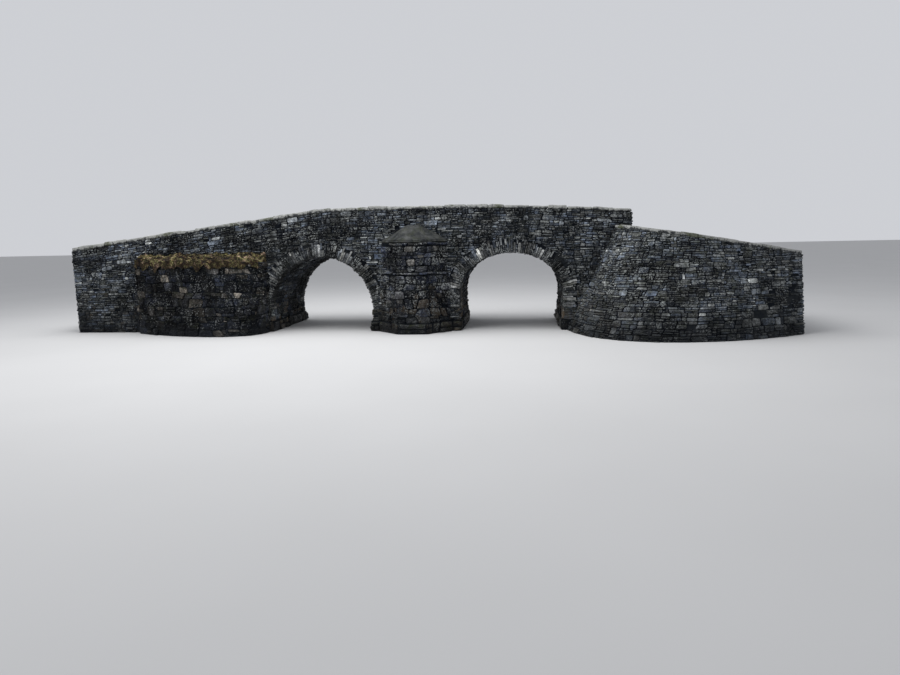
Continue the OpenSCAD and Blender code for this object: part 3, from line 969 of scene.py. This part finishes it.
def coping_finish():
    """Slabs with pale lichened tops, their sides painted pale above as highlight, dark below as
    shadow.
    """
    finish = Finish("lichened coping slabs")
    place = finish.place
    grain = place.noise(42, 4, 0.65)
    mottle = place.noise(15, 4, 0.7)
    blotch = place.noise(6, 4, 0.65)
    colour = finish.tone.ramp([
        (0.0, (0.10, 0.105, 0.105)),
        (0.6, (0.20, 0.205, 0.20)),
        (1.0, (0.36, 0.36, 0.34)),
    ])
    value = (0.35 + finish.depth * 0.6) * (0.5 + grain.rise(0.38, 0.62))
    colour = finish.shaded(colour, value)
    crust = (blotch + finish.age * 0.1).rise(0.54, 0.64) * grain.rise(0.4, 0.5)
    colour = (crust * 0.7).tint(colour, (0.36, 0.37, 0.35))
    side = finish.flat.rise(0.8, 0.3)
    height = finish.worn + (mottle - 0.5) * 2.2 + (blotch - 0.5) * 2.0
    # Painted highlight along the upper part of the sides
    colour = (side * height.rise(0.15, 0.7) * 0.8).tint(colour, (0.35, 0.355, 0.34))
    # Painted shadow along the lower part of the sides, under the slab's edge
    colour = (side * height.rise(0.5, 0.0) * 0.9).tint(colour, (0.035, 0.038, 0.042))
    green = (place.noise(1.6, 5, 0.65) + (blotch - 0.5) * 0.3).rise(0.55, 0.63)
    colour = (green * 0.75).tint(colour, (0.06, 0.068, 0.034))
    return finish.close(colour, 0.9 - crust * 0.06, grain * 0.6 + mottle * 0.8, 0.8, 0.016)


def cap_finish():
    """Smooth lime mortar, weathered dark grey-green, with hair cracks."""
    finish = Finish("weathered lime mortar")
    place = finish.place
    grain = place.noise(60, 4, 0.6)
    clouds = place.noise(2.6, 4, 0.6)
    colour = clouds.ramp([
        (0.4, (0.018, 0.020, 0.021)),
        (0.5, (0.034, 0.036, 0.036)),
        (0.62, (0.060, 0.062, 0.061)),
    ])
    colour = finish.shaded(colour, 0.7 + 0.6 * grain.rise(0.38, 0.62))
    green = place.noise(4.5, 4, 0.65).rise(0.5, 0.6)
    colour = (green * 0.35).tint(colour, (0.032, 0.036, 0.018))
    washed = place.stretched(7, 7, 1.2).noise(1.0, 3, 0.6).rise(0.52, 0.62)
    colour = (washed * 0.3).tint(colour, (0.085, 0.09, 0.09))
    cells = finish.start.node(
        "TexVoronoi", {"feature": "DISTANCE_TO_EDGE"},
        {"Vector": place, "Scale": 2.6, "Randomness": 1.0},
    )
    crack = cells.rise(0.012, 0.0)
    colour = (crack * 0.7).tint(colour, (0.015, 0.015, 0.014))
    height = grain * 0.35 + clouds * 0.6 - crack * 0.5
    return finish.close(colour, 0.88 - green * 0.05, height, 0.5, 0.012)


def bed_finish():
    """Dark earthy mortar behind and between the stones."""
    finish = Finish("dark earthy mortar")
    place = finish.place
    grain = place.noise(48, 4, 0.7)
    clouds = place.noise(2.2, 3, 0.6)
    colour = clouds.ramp([
        (0.4, (0.004, 0.006, 0.009)),
        (0.5, (0.009, 0.012, 0.017)),
        (0.62, (0.022, 0.025, 0.028)),
    ])
    colour = finish.shaded(colour, 0.75 + (grain - 0.5) * 1.2)
    damp = finish.up.rise(0.4, 0.1)
    colour = (damp * 0.6).tint(colour, (0.003, 0.004, 0.006))
    return finish.close(colour, 0.95 - damp * 0.45, grain + clouds * 0.4, 0.8, 0.012)


def road_finish():
    """Worn grit with stones rolled in, paler wheel tracks and damp mossy verges."""
    finish = Finish("worn road grit")
    place = finish.place
    grain = place.noise(70, 4, 0.7)
    mottle = place.noise(9, 5, 0.75)
    clouds = place.noise(0.9, 4, 0.6)
    cobbles = finish.start.node("TexVoronoi", {}, {"Vector": place, "Scale": 9.0})
    pebbles = finish.start.node("TexVoronoi", {}, {"Vector": place, "Scale": 30.0})
    colour = (clouds * 0.4 + mottle * 0.6).ramp([
        (0.40, (0.060, 0.060, 0.058)),
        (0.5, (0.100, 0.098, 0.093)),
        (0.60, (0.150, 0.146, 0.136)),
    ])
    off_middle = finish.across.math("ABSOLUTE") + (clouds - 0.5) * 0.5
    off_track = (off_middle - WHEEL_TRACK).math("ABSOLUTE")
    colour = (off_track.rise(0.32, 0.1) * 0.6).tint(colour, (0.155, 0.151, 0.142))
    colour = finish.shaded(colour, 0.5 + 0.9 * grain.rise(0.4, 0.62))
    rolled = cobbles.rise(0.34, 0.24) * mottle.rise(0.5, 0.56)
    colour = (rolled * 0.6).tint(colour, (0.15, 0.155, 0.165))
    pebble = pebbles.rise(0.4, 0.2) * (1.0 - rolled)
    colour = (pebble * 0.4).tint(colour, (0.24, 0.235, 0.215))
    verge = (finish.tone + (clouds - 0.5) * 1.2 + (mottle - 0.5) * 0.8).rise(0.82, 1.02)
    colour = (verge * 0.75).tint(colour, (0.034, 0.037, 0.020))
    height = grain * 0.4 + pebble * 0.5 + rolled * 0.8
    return finish.close(colour, 0.93 - rolled * 0.15, height, 0.8, 0.016)


def moss_finish():
    """Rough capping, stained olive and russet by moss, with painted light and shade."""
    finish = Finish("moss-stained capping")
    place = finish.place
    tufts = place.noise(22, 5, 0.75)
    clumps = place.noise(6, 4, 0.7)
    clouds = place.noise(2.2, 4, 0.6)
    colour = (clumps * 0.6 + clouds * 0.4).ramp([
        (0.44, (0.012, 0.010, 0.009)),
        (0.475, (0.064, 0.037, 0.021)),
        (0.505, (0.064, 0.066, 0.026)),
        (0.54, (0.098, 0.088, 0.038)),
        (0.575, (0.15, 0.105, 0.075)),
    ])
    # Tufts painted lit and hollows painted in shade
    hollows = place.noise(7, 5, 0.7).rise(0.42, 0.58)
    lit = (0.35 + 1.65 * tufts.rise(0.44, 0.6)) * (0.2 + 1.4 * hollows)
    # Upward faces painted darker, as shade against the light from above
    colour = finish.shaded(colour, lit * (1.0 - 0.45 * finish.flat.rise(0.8, 1.0)))
    # The hanging front tinted dark brown: brown moss and painted shade under the edge
    brow = finish.flat.rise(0.5, 0.0)
    colour = (brow * 0.6).tint(colour, (0.024, 0.017, 0.011))
    return finish.close(colour, 0.95 - clouds * 0.05, tufts + clumps, 1.0, 0.04)


COPING_FINISH = coping_finish()
CAP_FINISH = cap_finish()
BED_FINISH = bed_finish()
ROAD_FINISH = road_finish()
MOSS_FINISH = moss_finish()

SIDES = (("front", -1), ("back", 1))
THROUGH = (-FACE - OVERLAP, FACE + OVERLAP)


def long_walls():
    """Courses of the front and back walls, from the ground up to the road."""
    foot_line = WING_FOOT[0].x
    wing_edge = Vector((WING_TOP[0].x - foot_line, kerb_bed(WING_TOP[0].x)))
    before_wing = beside((foot_line, 0), (-wing_edge.y, wing_edge.x))
    for name, side in SIDES:
        stones = Masonry(name + "_wall_stones")
        face = long_wall(side)

        def courses(start, end, low, high, trims=()):
            lay(stones, face, (start, end), (low, high), SLATE_WALLING, trims)

        left_stop = LEFT_WING_FAR if side < 0 else LEFT_JAMB
        courses(LEFT_END - OVERLAP, left_stop + OVERLAP, 0, SPRING_Z)
        if side > 0:
            courses(RIGHT_JAMB + QUOIN, RIGHT_END, 0, FOOT_Z)
            courses(RIGHT_JAMB - OVERLAP, RIGHT_END, FOOT_Z, SPRING_Z)
        else:
            courses(RIGHT_JAMB - OVERLAP, foot_line + QUOIN, FOOT_Z, SPRING_Z, [before_wing])
        for edge in (-PIER_HALF, CUTWATER_HALF):
            far_edge = edge + PIER_HALF - CUTWATER_HALF
            courses(edge - OVERLAP, far_edge + OVERLAP, FOOT_Z, SPRING_Z)
        trims = [
            clear_of(LEFT_ARCH),
            clear_of(RIGHT_ARCH),
            hidden_in(-CUTWATER_HALF + SETOFF, CUTWATER_HALF - SETOFF, CUTWATER_Z),
        ]
        if side < 0:
            trims += [before_wing, hidden_in(LEFT_WING_FAR, LEFT_WING_X, LEFT_WING_Z)]
        trims.append(trimmed(road_z, BELOW))
        courses(LEFT_END - OVERLAP, PARAPET_END, SPRING_Z, HUMP_Z, trims)
        if side > 0:
            kerb_top = kerb_bed(PARAPET_END)
            trims = [trimmed(kerb_bed, BELOW)]
            courses(PARAPET_END, RIGHT_END + OVERLAP, SPRING_Z, kerb_top, trims)
            trims.append(trimmed(road_z, ABOVE))
            lay(stones, long_wall(side, WALL), (PARAPET_END, RIGHT_END),
                (road_z(RIGHT_END), kerb_top), SLATE_WALLING, trims)
        stones.build(WALL_FINISH)


def parapets():
    """Courses of the parapets' faces and ends, above the road."""
    span = (LEFT_END - OVERLAP, PARAPET_END + OVERLAP)
    for name, side in SIDES:
        for face_name, thick in (("outer", 0), ("inner", PARAPET)):
            stones = Masonry(f"{name}_parapet_{face_name}_stones")
            face = long_wall(side, thick, road_z)
            lay(stones, face, span, (0, PARAPET_RISE), SLATE_WALLING)
            if thick:
                ends = sorted((side * (FACE + OVERLAP), side * (FACE - PARAPET - OVERLAP)))
                for x, end in ((LEFT_END, -1), (PARAPET_END, 1)):
                    up = (road_z(x), parapet_bed(x))
                    lay(stones, cross_wall(x, end), ends, up, SLATE_WALLING)
            stones.build(WALL_FINISH)


def inner_shade_and_damp(spot):
    """Arch slates darken towards the inside of the arch: painted shade of the opening, and damp."""
    dry = (spot.y - INNER_DARK_FROM) / INNER_DARK_REACH
    return min(max(DARKEST_INNER + (1 - DARKEST_INNER) * dry, DARKEST_INNER), 1)


def arch_rings():
    """Slates on edge round each arch, set out along its own curve. Some are broken in two."""
    for arch_name, arch in ARCHES:
        for name, side in SIDES:
            stones = Masonry(f"{name}_{arch_name}_arch_slates")
            rng = stones.rng
            face = ring_face(arch, side)
            ends = divide((0, arch.soffit.length), CLEAVED, rng)
            for a, b in pairwise(ends):
                stops = [rng.uniform(*RING_HANG), RING_DEPTH + rng.uniform(*RING_RAGGED)]
                if rng.random() < RING_BROKEN:
                    stops.insert(1, rng.uniform(*RING_BREAK))
                for inner, outer in pairwise(stops):
                    corners = [Vector(c) for c in ((a, inner), (b, inner), (b, outer), (a, outer))]
                    outline = rough_outline(corners, RING_JOINT, rng)
                    proud = rng.uniform(*RING_PROUD)
                    stones.stone(outline, face, proud, RING_BURY, RING_WORN, inner_shade_and_damp)
            stones.build(ARCH_FINISH)


def vaults():
    """Slates along the vaults, and larger stones on the upright faces below them."""
    half = FACE - WALL
    for name, arch in ARCHES:
        stones = Masonry(name + "_vault_slates")
        lay(stones, vault(arch), (-half, half), (0, arch.soffit.length), LINING)
        for x, side in ((arch.left, 1), (arch.right, -1)):
            lay(stones, cross_wall(x, side), THROUGH, (FOOT_Z, SPRING_Z), PIER_WALLING)
        stones.build(LINING_FINISH)


def foot_course(stones, plan):
    """One course of large stones on a plan, with straight joints at its corners."""
    lay(stones, uneven(round_plan(plan)), (0, plan.length), (0, FOOT_Z), FOOT_BLOCKS,
        breaks=plan.reach[1:-1])


def abutment_feet():
    """Large stones that step out under the outer springings."""
    stones = Masonry("abutment_foot_stones")
    for jamb, side in ((LEFT_JAMB, 1), (RIGHT_JAMB, -1)):
        edge = jamb + side * FOOT_OUT
        rear = jamb - side * QUOIN
        corners = [(rear, side), (edge, side), (edge, -side), (rear, -side)]
        foot_course(stones, Path([(x, turn * FACE) for x, turn in corners]))
    stones.build(FOOT_FINISH)


def cutwaters():
    """Two stages of stones round each pointed nose, parted by a course of slabs."""
    for name, side in SIDES:
        stones = Masonry(name + "_cutwater_stones")
        for less, low, high in ((0, FOOT_Z, SETOFF_Z), (SETOFF, SETOFF_Z, CUTWATER_Z)):
            plan = Path([
                (CUTWATER_HALF - less, -FACE),
                (NOSE_HALF - less / 2, -CUTWATER_END + less),
                (-NOSE_HALF + less / 2, -CUTWATER_END + less),
                (-CUTWATER_HALF + less, -FACE),
            ])
            face = round_plan(plan, side)
            lay(stones, face, (0, plan.length), (low, high - LEDGE_Z), PIER_WALLING,
                folds=plan.reach[1:3])
            lay(stones, uneven(face), (0, plan.length), (high - LEDGE_Z + LEDGE_JOINT, high),
                LEDGE_SLABS, folds=plan.reach[1:3])
        stones.build(PIER_FINISH)


def pier_foot():
    """Large stones that step out round the foot of the pier and both cutwaters."""
    shoulder = CUTWATER_HALF + FOOT_OUT
    nose = NOSE_HALF + FOOT_OUT
    front = [
        (FOOT_HALF, -FACE), (shoulder, -FACE - FOOT_OUT), (nose, -FOOT_END),
        (-nose, -FOOT_END), (-shoulder, -FACE - FOOT_OUT), (-FOOT_HALF, -FACE),
    ]
    back = [(-x, -y) for x, y in front]
    stones = Masonry("pier_foot_stones")
    foot_course(stones, Path(front + back + front[:1], closed=True))
    stones.build(FOOT_FINISH)


def right_wing():
    """Leaning courses of the swept wing, larger low down, and the face beside the apron."""
    heights = [kerb_bed(corner.x) for corner in WING_TOP]
    high = max(heights)
    stones = Masonry("right_wing_stones")
    outer, top, length = battered(WING_FOOT[::-1], WING_TOP[::-1], heights[::-1])
    lay(stones, outer, (-OVERLAP, length), (0, LOW_COURSES), LOW_WALLING)
    lay(stones, outer, (-OVERLAP, length), (LOW_COURSES, high), SLATE_WALLING,
        [trimmed(top, BELOW)])
    inner = Path(WING_INNER)
    trims = [
        trimmed(lambda u: kerb_bed(inner.at(u).x), BELOW),
        trimmed(lambda u: road_z(inner.at(u).x), ABOVE),
    ]
    lay(stones, round_plan(inner), (0, inner.length), (road_z(RIGHT_END), high),
        SLATE_WALLING, trims)
    stones.build(WALL_FINISH)


def left_wing():
    """Courses of the low wing that bows out from the left arch, and its two ends."""
    stones = Masonry("left_wing_stones")
    up = (0, LEFT_WING_Z)
    heights = [LEFT_WING_Z] * (WING_STATIONS + 1)
    outer, _, length = battered(LEFT_WING_FOOT, LEFT_WING_TOP, heights)
    lay(stones, outer, (-OVERLAP, length + OVERLAP), up, PIER_WALLING)
    for x, side in ((LEFT_WING_X, 1), (LEFT_WING_FAR, -1)):
        end = (-FACE - LEFT_WING_END - OVERLAP, -FACE)
        lay(stones, cross_wall(x, side), end, up, PIER_WALLING)
    stones.build(WING_FINISH)


def cut_ends():
    """Faces where the walls of the approaches are cut off."""
    stones = Masonry("cut_end_stones")
    lay(stones, cross_wall(LEFT_END, -1), THROUGH, (0, road_z(LEFT_END)), SLATE_WALLING)
    foot, top = WING_FOOT[-1], WING_TOP[-1]
    lean = Vector((kerb_bed(RIGHT_END), -(top.y - foot.y)))
    lay(stones, cross_wall(RIGHT_END, 1), (foot.y - OVERLAP, FACE + OVERLAP),
        (0, kerb_bed(RIGHT_END)), SLATE_WALLING, [beside((foot.y, 0), lean)])
    stones.build(WALL_FINISH)


def on_wall(start, side, edge_y, bed, tip=0.0):
    """Places a slab on the bed of a wall, inwards from its edge, and tips it a little."""
    def place(a, b, c):
        x = start + a
        tipped = tip * (b - (PARAPET / 2 + COPING_OUT)) * 2
        return Vector((x, side * (edge_y - b), bed(x) + c + tipped))
    return place


def parapet_copings():
    """Rough slabs on the parapets, one to each slab of the part, and on the kerb behind."""
    joints = [x for x, z in ROAD if x < PARAPET_END + SAME_PLACE]
    for name, side in SIDES:
        slabs = Masonry(name + "_coping_slabs")
        rng = slabs.rng
        for x0, x1 in pairwise(joints):
            gap = rng.uniform(*COPING_GAPS) * COPING_JOINT / 2
            over_front, over_road = rng.uniform(*COPING_OVER), rng.uniform(*COPING_OVER)
            tall = COPING + rng.uniform(*COPING_TALL)
            size = (x1 - x0 - 2 * gap, PARAPET + 2 * COPING_OUT + over_front + over_road, tall)
            tip = rng.uniform(*COPING_TIP)
            place = on_wall(x0 + gap, side, FACE + COPING_OUT + over_front, parapet_bed, tip)
            slabs.slab(place, size, *COPING_WEAR)
        if side > 0:
            count = round((RIGHT_END - PARAPET_END) / KERB_SLAB)
            pitch = (RIGHT_END - PARAPET_END) / count
            for i in range(count):
                start = PARAPET_END + i * pitch + COPING_JOINT / 2
                size = (pitch - COPING_JOINT, WALL + COPING_OUT, KERB + rng.uniform(*KERB_TALL))
                slabs.slab(on_wall(start, side, FACE + COPING_OUT, kerb_bed), size, *KERB_WEAR)
        slabs.build(COPING_FINISH, [f"{name}_left_coping", f"{name}_right_coping"])


def wing_coping():
    """Slabs on the swept wing, one to each station of the part."""
    slabs = Masonry("right_wing_coping_slabs")
    gap = COPING_JOINT / 2
    for i in range(WING_STATIONS):
        length = (WING_TOP[i + 1] - WING_TOP[i]).length

        def place(a, b, c):
            share = (a + gap) / length
            front, rear = between(WING_TOP, i, share), between(WING_INNER, i, share)
            spot = front + (rear - front) * ((b - COPING_OUT) / WALL)
            return Vector((spot.x, spot.y, kerb_bed(spot.x) + c))

        tall = KERB + slabs.rng.uniform(*WING_TALL)
        slabs.slab(place, (length - 2 * gap, WALL + COPING_OUT, tall), *KERB_WEAR)
    slabs.build(COPING_FINISH, ["right_wing_coping"])


def cutwater_caps():
    """Mortar caps, worked up from the part's own caps with worn arrises and lumps."""
    for name, _ in SIDES:
        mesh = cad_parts[name + "_cutwater_cap"].data.copy()
        mesh.materials.clear()
        work = bmesh.new()
        work.from_mesh(mesh)
        bmesh.ops.remove_doubles(work, verts=work.verts, dist=CAP_WELD)
        bmesh.ops.dissolve_limit(work, angle_limit=0.02, verts=work.verts, edges=work.edges)
        bmesh.ops.bevel(work, geom=work.edges[:], offset=CAP_ARRIS, segments=2, affect="EDGES")
        bmesh.ops.triangulate(work, faces=work.faces)
        for _ in range(4):
            long_edges = [edge for edge in work.edges if edge.calc_length() > CAP_FACET]
            bmesh.ops.subdivide_edges(work, edges=long_edges, cuts=1)
            bmesh.ops.triangulate(work, faces=work.faces)
        for vertex in work.verts:
            relief = (noise.noise_vector(vertex.co * pitch) * size for pitch, size in CAP_LUMPS)
            vertex.co += sum(relief, Vector())
        bmesh.ops.recalc_face_normals(work, faces=work.faces)
        work.to_mesh(mesh)
        work.free()
        hand_over(name + "_mortar_cap", mesh, CAP_FINISH,
                  [name + "_cutwater_cap"], smooth=True)


def closed_sheet(title, top, underside, cells, finish, replaced):
    """A layer from top(share along, share across) down to underside(spot, share across)."""
    columns, rows = cells
    across = [j / rows for j in range(rows + 1)]
    spots = [top(i / columns, b) for i in range(columns + 1) for b in across]
    wide = rows + 1
    low = len(spots)
    sheet = Masonry(title)
    sheet.points = spots + [underside(spot, b) for spot, b in zip(spots, across * (columns + 1))]
    sheet.shades = [(abs(2 * b - 1), 0.5, 0.5, 1.0) for b in across * (2 * columns + 2)]
    for i in range(columns):
        for j in range(rows):
            a = i * wide + j
            sheet.faces.append((a, a + 1, a + wide + 1, a + wide))
            sheet.faces.append((a + low, a + low + wide, a + low + wide + 1, a + low + 1))
    rim = [i * wide for i in range(columns + 1)]
    rim += [columns * wide + j for j in range(1, rows + 1)]
    rim += [i * wide + rows for i in range(columns - 1, -1, -1)]
    rim += range(rows - 1, 0, -1)
    for a, b in loop(rim):
        sheet.faces.append((a, b, b + low, a + low))
    piece = sheet.build(finish, replaced, smooth=True)
    piece.data.set_sharp_from_angle(angle=SHARP)


def lumps(x, y, layers):
    """Relief of a surface, summed over its layers."""
    return sum(height * noise.noise((x * pitch, y * pitch, seed)) for pitch, seed, height in layers)


def road_height(x, y):
    """The road's worn surface: camber, two wheel tracks and small hollows."""
    camber = CAMBER * (1 - min(abs(y) / (FACE - PARAPET), 1) ** 2)
    tracks = -TRACK_DEPTH * math.exp(-((abs(y) - WHEEL_TRACK) / TRACK_WIDTH) ** 2)
    return road_z(x) + camber + tracks + lumps(x, y, ROAD_LUMPS)


def road_underside(spot, _):
    return Vector((spot.x, spot.y, road_z(spot.x) - ROAD_DEPTH))


def roads():
    """The road between the parapets, and the apron beside the swept wing."""
    wing = sorted((corner.x, corner.y) for corner in WING_INNER)

    def bridge(a, b):
        x = LEFT_END + (PARAPET_END - LEFT_END) * a
        y = (FACE - PARAPET) * (2 * b - 1)
        return Vector((x, y, road_height(x, y)))

    def apron(a, b):
        x = PARAPET_END + (RIGHT_END - PARAPET_END) * a
        wing_y = value_at(wing, x)
        y = wing_y + (FACE - WALL - wing_y) * b
        return Vector((x, y, road_height(x, y)))

    for title, top, cells, replaced in (
        ("bridge_road", bridge, ROAD_CELLS, ["left_roadway", "right_roadway"]),
        ("apron_road", apron, APRON_CELLS, ["right_apron"]),
    ):
        closed_sheet(title, top, road_underside, cells, ROAD_FINISH, replaced)


def left_wing_capping():
    """Mossy sloped capping with a rough outer edge."""
    plan = Path(LEFT_WING_TOP)

    def top(a, b):
        spot = between(LEFT_WING_TOP, *plan.station(a * plan.length))
        y = spot.y + (-FACE - spot.y) * b
        z = LEFT_WING_Z + CAPPING_EDGE + CAPPING_RISE * b
        ragged = RAGGED_EDGE * (1 - b) ** 3 * (1 + noise.noise((spot.x * 6, 0, 0)))
        ragged += FRINGE * (1 - b) ** 3 * noise.noise((spot.x * 17, 3, 0))
        return Vector((spot.x, y - ragged, z + lumps(spot.x, y, CAPPING_LUMPS)))

    def hanging_edge(spot, b):
        hang = LEAST_HANG + HANG * max(0, 0.4 + noise.noise((spot.x * 4.5, 7, 0)))
        hang = (hang + HANG_FRINGE * noise.noise((spot.x * 19, 1, 0))) * (1 - b) ** 8
        return Vector((spot.x, spot.y - hang * HANG_OUT, LEFT_WING_Z - hang))

    closed_sheet("left_wing_moss", top, hanging_edge, CAPPING_CELLS, MOSS_FINISH,
                 ["left_wing_capping"])


def finish_nodes():
    """The part's own solids show between the stones, as mortar and earth."""
    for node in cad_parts.values():
        for slot in node.material_slots:
            slot.material = BED_FINISH
        if not node.material_slots:
            node.data.materials.append(BED_FINISH)


# The studio. Each softbox has its name, place, aim, size and power, and the eye its turn, its
# look down and its roll in degrees
FLOOR_REACH = 260
FLOOR_CORNERS = ((-1, -1), (1, -1), (1, 1), (-1, 1))
FLOOR_Z = -0.002
SKY_COLOUR = (0.93, 0.95, 1.0, 1)
SKY_STRENGTH = 0.66
SOFTBOXES = (
    ("overhead_softbox", (-3, -3, 16), (0, 0, 0), 16, 3600),
    ("front_left_softbox", (-16, -18, 14), (0, 0, 1.5), 8, 500),
)
EYE_PLACE = (3.25, -22.17, 2.75)
EYE_LENS = 26.6
EYE_REACH = 600
EYE_ANGLES = (6.11, 8.20, -1.14)


def studio():
    """A plain pale floor, soft light and the photograph's viewing angle."""
    scene = bpy.context.scene
    floor_mesh = bpy.data.meshes.new("floor")
    corners = [(x * FLOOR_REACH, y * FLOOR_REACH, FLOOR_Z) for x, y in FLOOR_CORNERS]
    floor_mesh.from_pydata(corners, [], [(0, 1, 2, 3)])
    pale = Finish("pale studio floor")
    tone = pale.place.noise(0.3, 2, 0.5)
    colour = tone.ramp([(0.3, (0.505,) * 3), (0.7, (0.52,) * 3)])
    floor_mesh.materials.append(pale.close(colour, 0.9, tone, 0.0, 0.01))
    stand("floor", floor_mesh)

    world = bpy.data.worlds.new("soft studio sky")
    scene.world = world
    world.use_nodes = True
    background = world.node_tree.nodes["Background"]
    background.inputs["Color"].default_value = SKY_COLOUR
    background.inputs["Strength"].default_value = SKY_STRENGTH
    for name, place, aim, size, power in SOFTBOXES:
        light = bpy.data.lights.new(name, "AREA")
        light.size = size
        light.energy = power
        softbox = stand(name, light)
        softbox.location = place
        softbox.rotation_euler = (Vector(aim) - Vector(place)).to_track_quat("-Z", "Y").to_euler()

    camera_data = bpy.data.cameras.new("eye")
    camera_data.lens = EYE_LENS
    camera_data.clip_end = EYE_REACH
    camera = stand("eye", camera_data)
    turn, down, roll = (math.radians(angle) for angle in EYE_ANGLES)
    aim = (
        Matrix.Rotation(turn, 4, "Z")
        @ Matrix.Rotation(math.pi / 2 - down, 4, "X")
        @ Matrix.Rotation(roll, 4, "Z")
    )
    camera.matrix_world = Matrix.Translation(EYE_PLACE) @ aim
    scene.camera = camera
    scene.view_settings.view_transform = "Standard"


finish_nodes()
long_walls()
parapets()
arch_rings()
vaults()
cutwaters()
pier_foot()
abutment_feet()
right_wing()
left_wing()
cut_ends()
parapet_copings()
wing_coping()
cutwater_caps()
roads()
left_wing_capping()
studio()
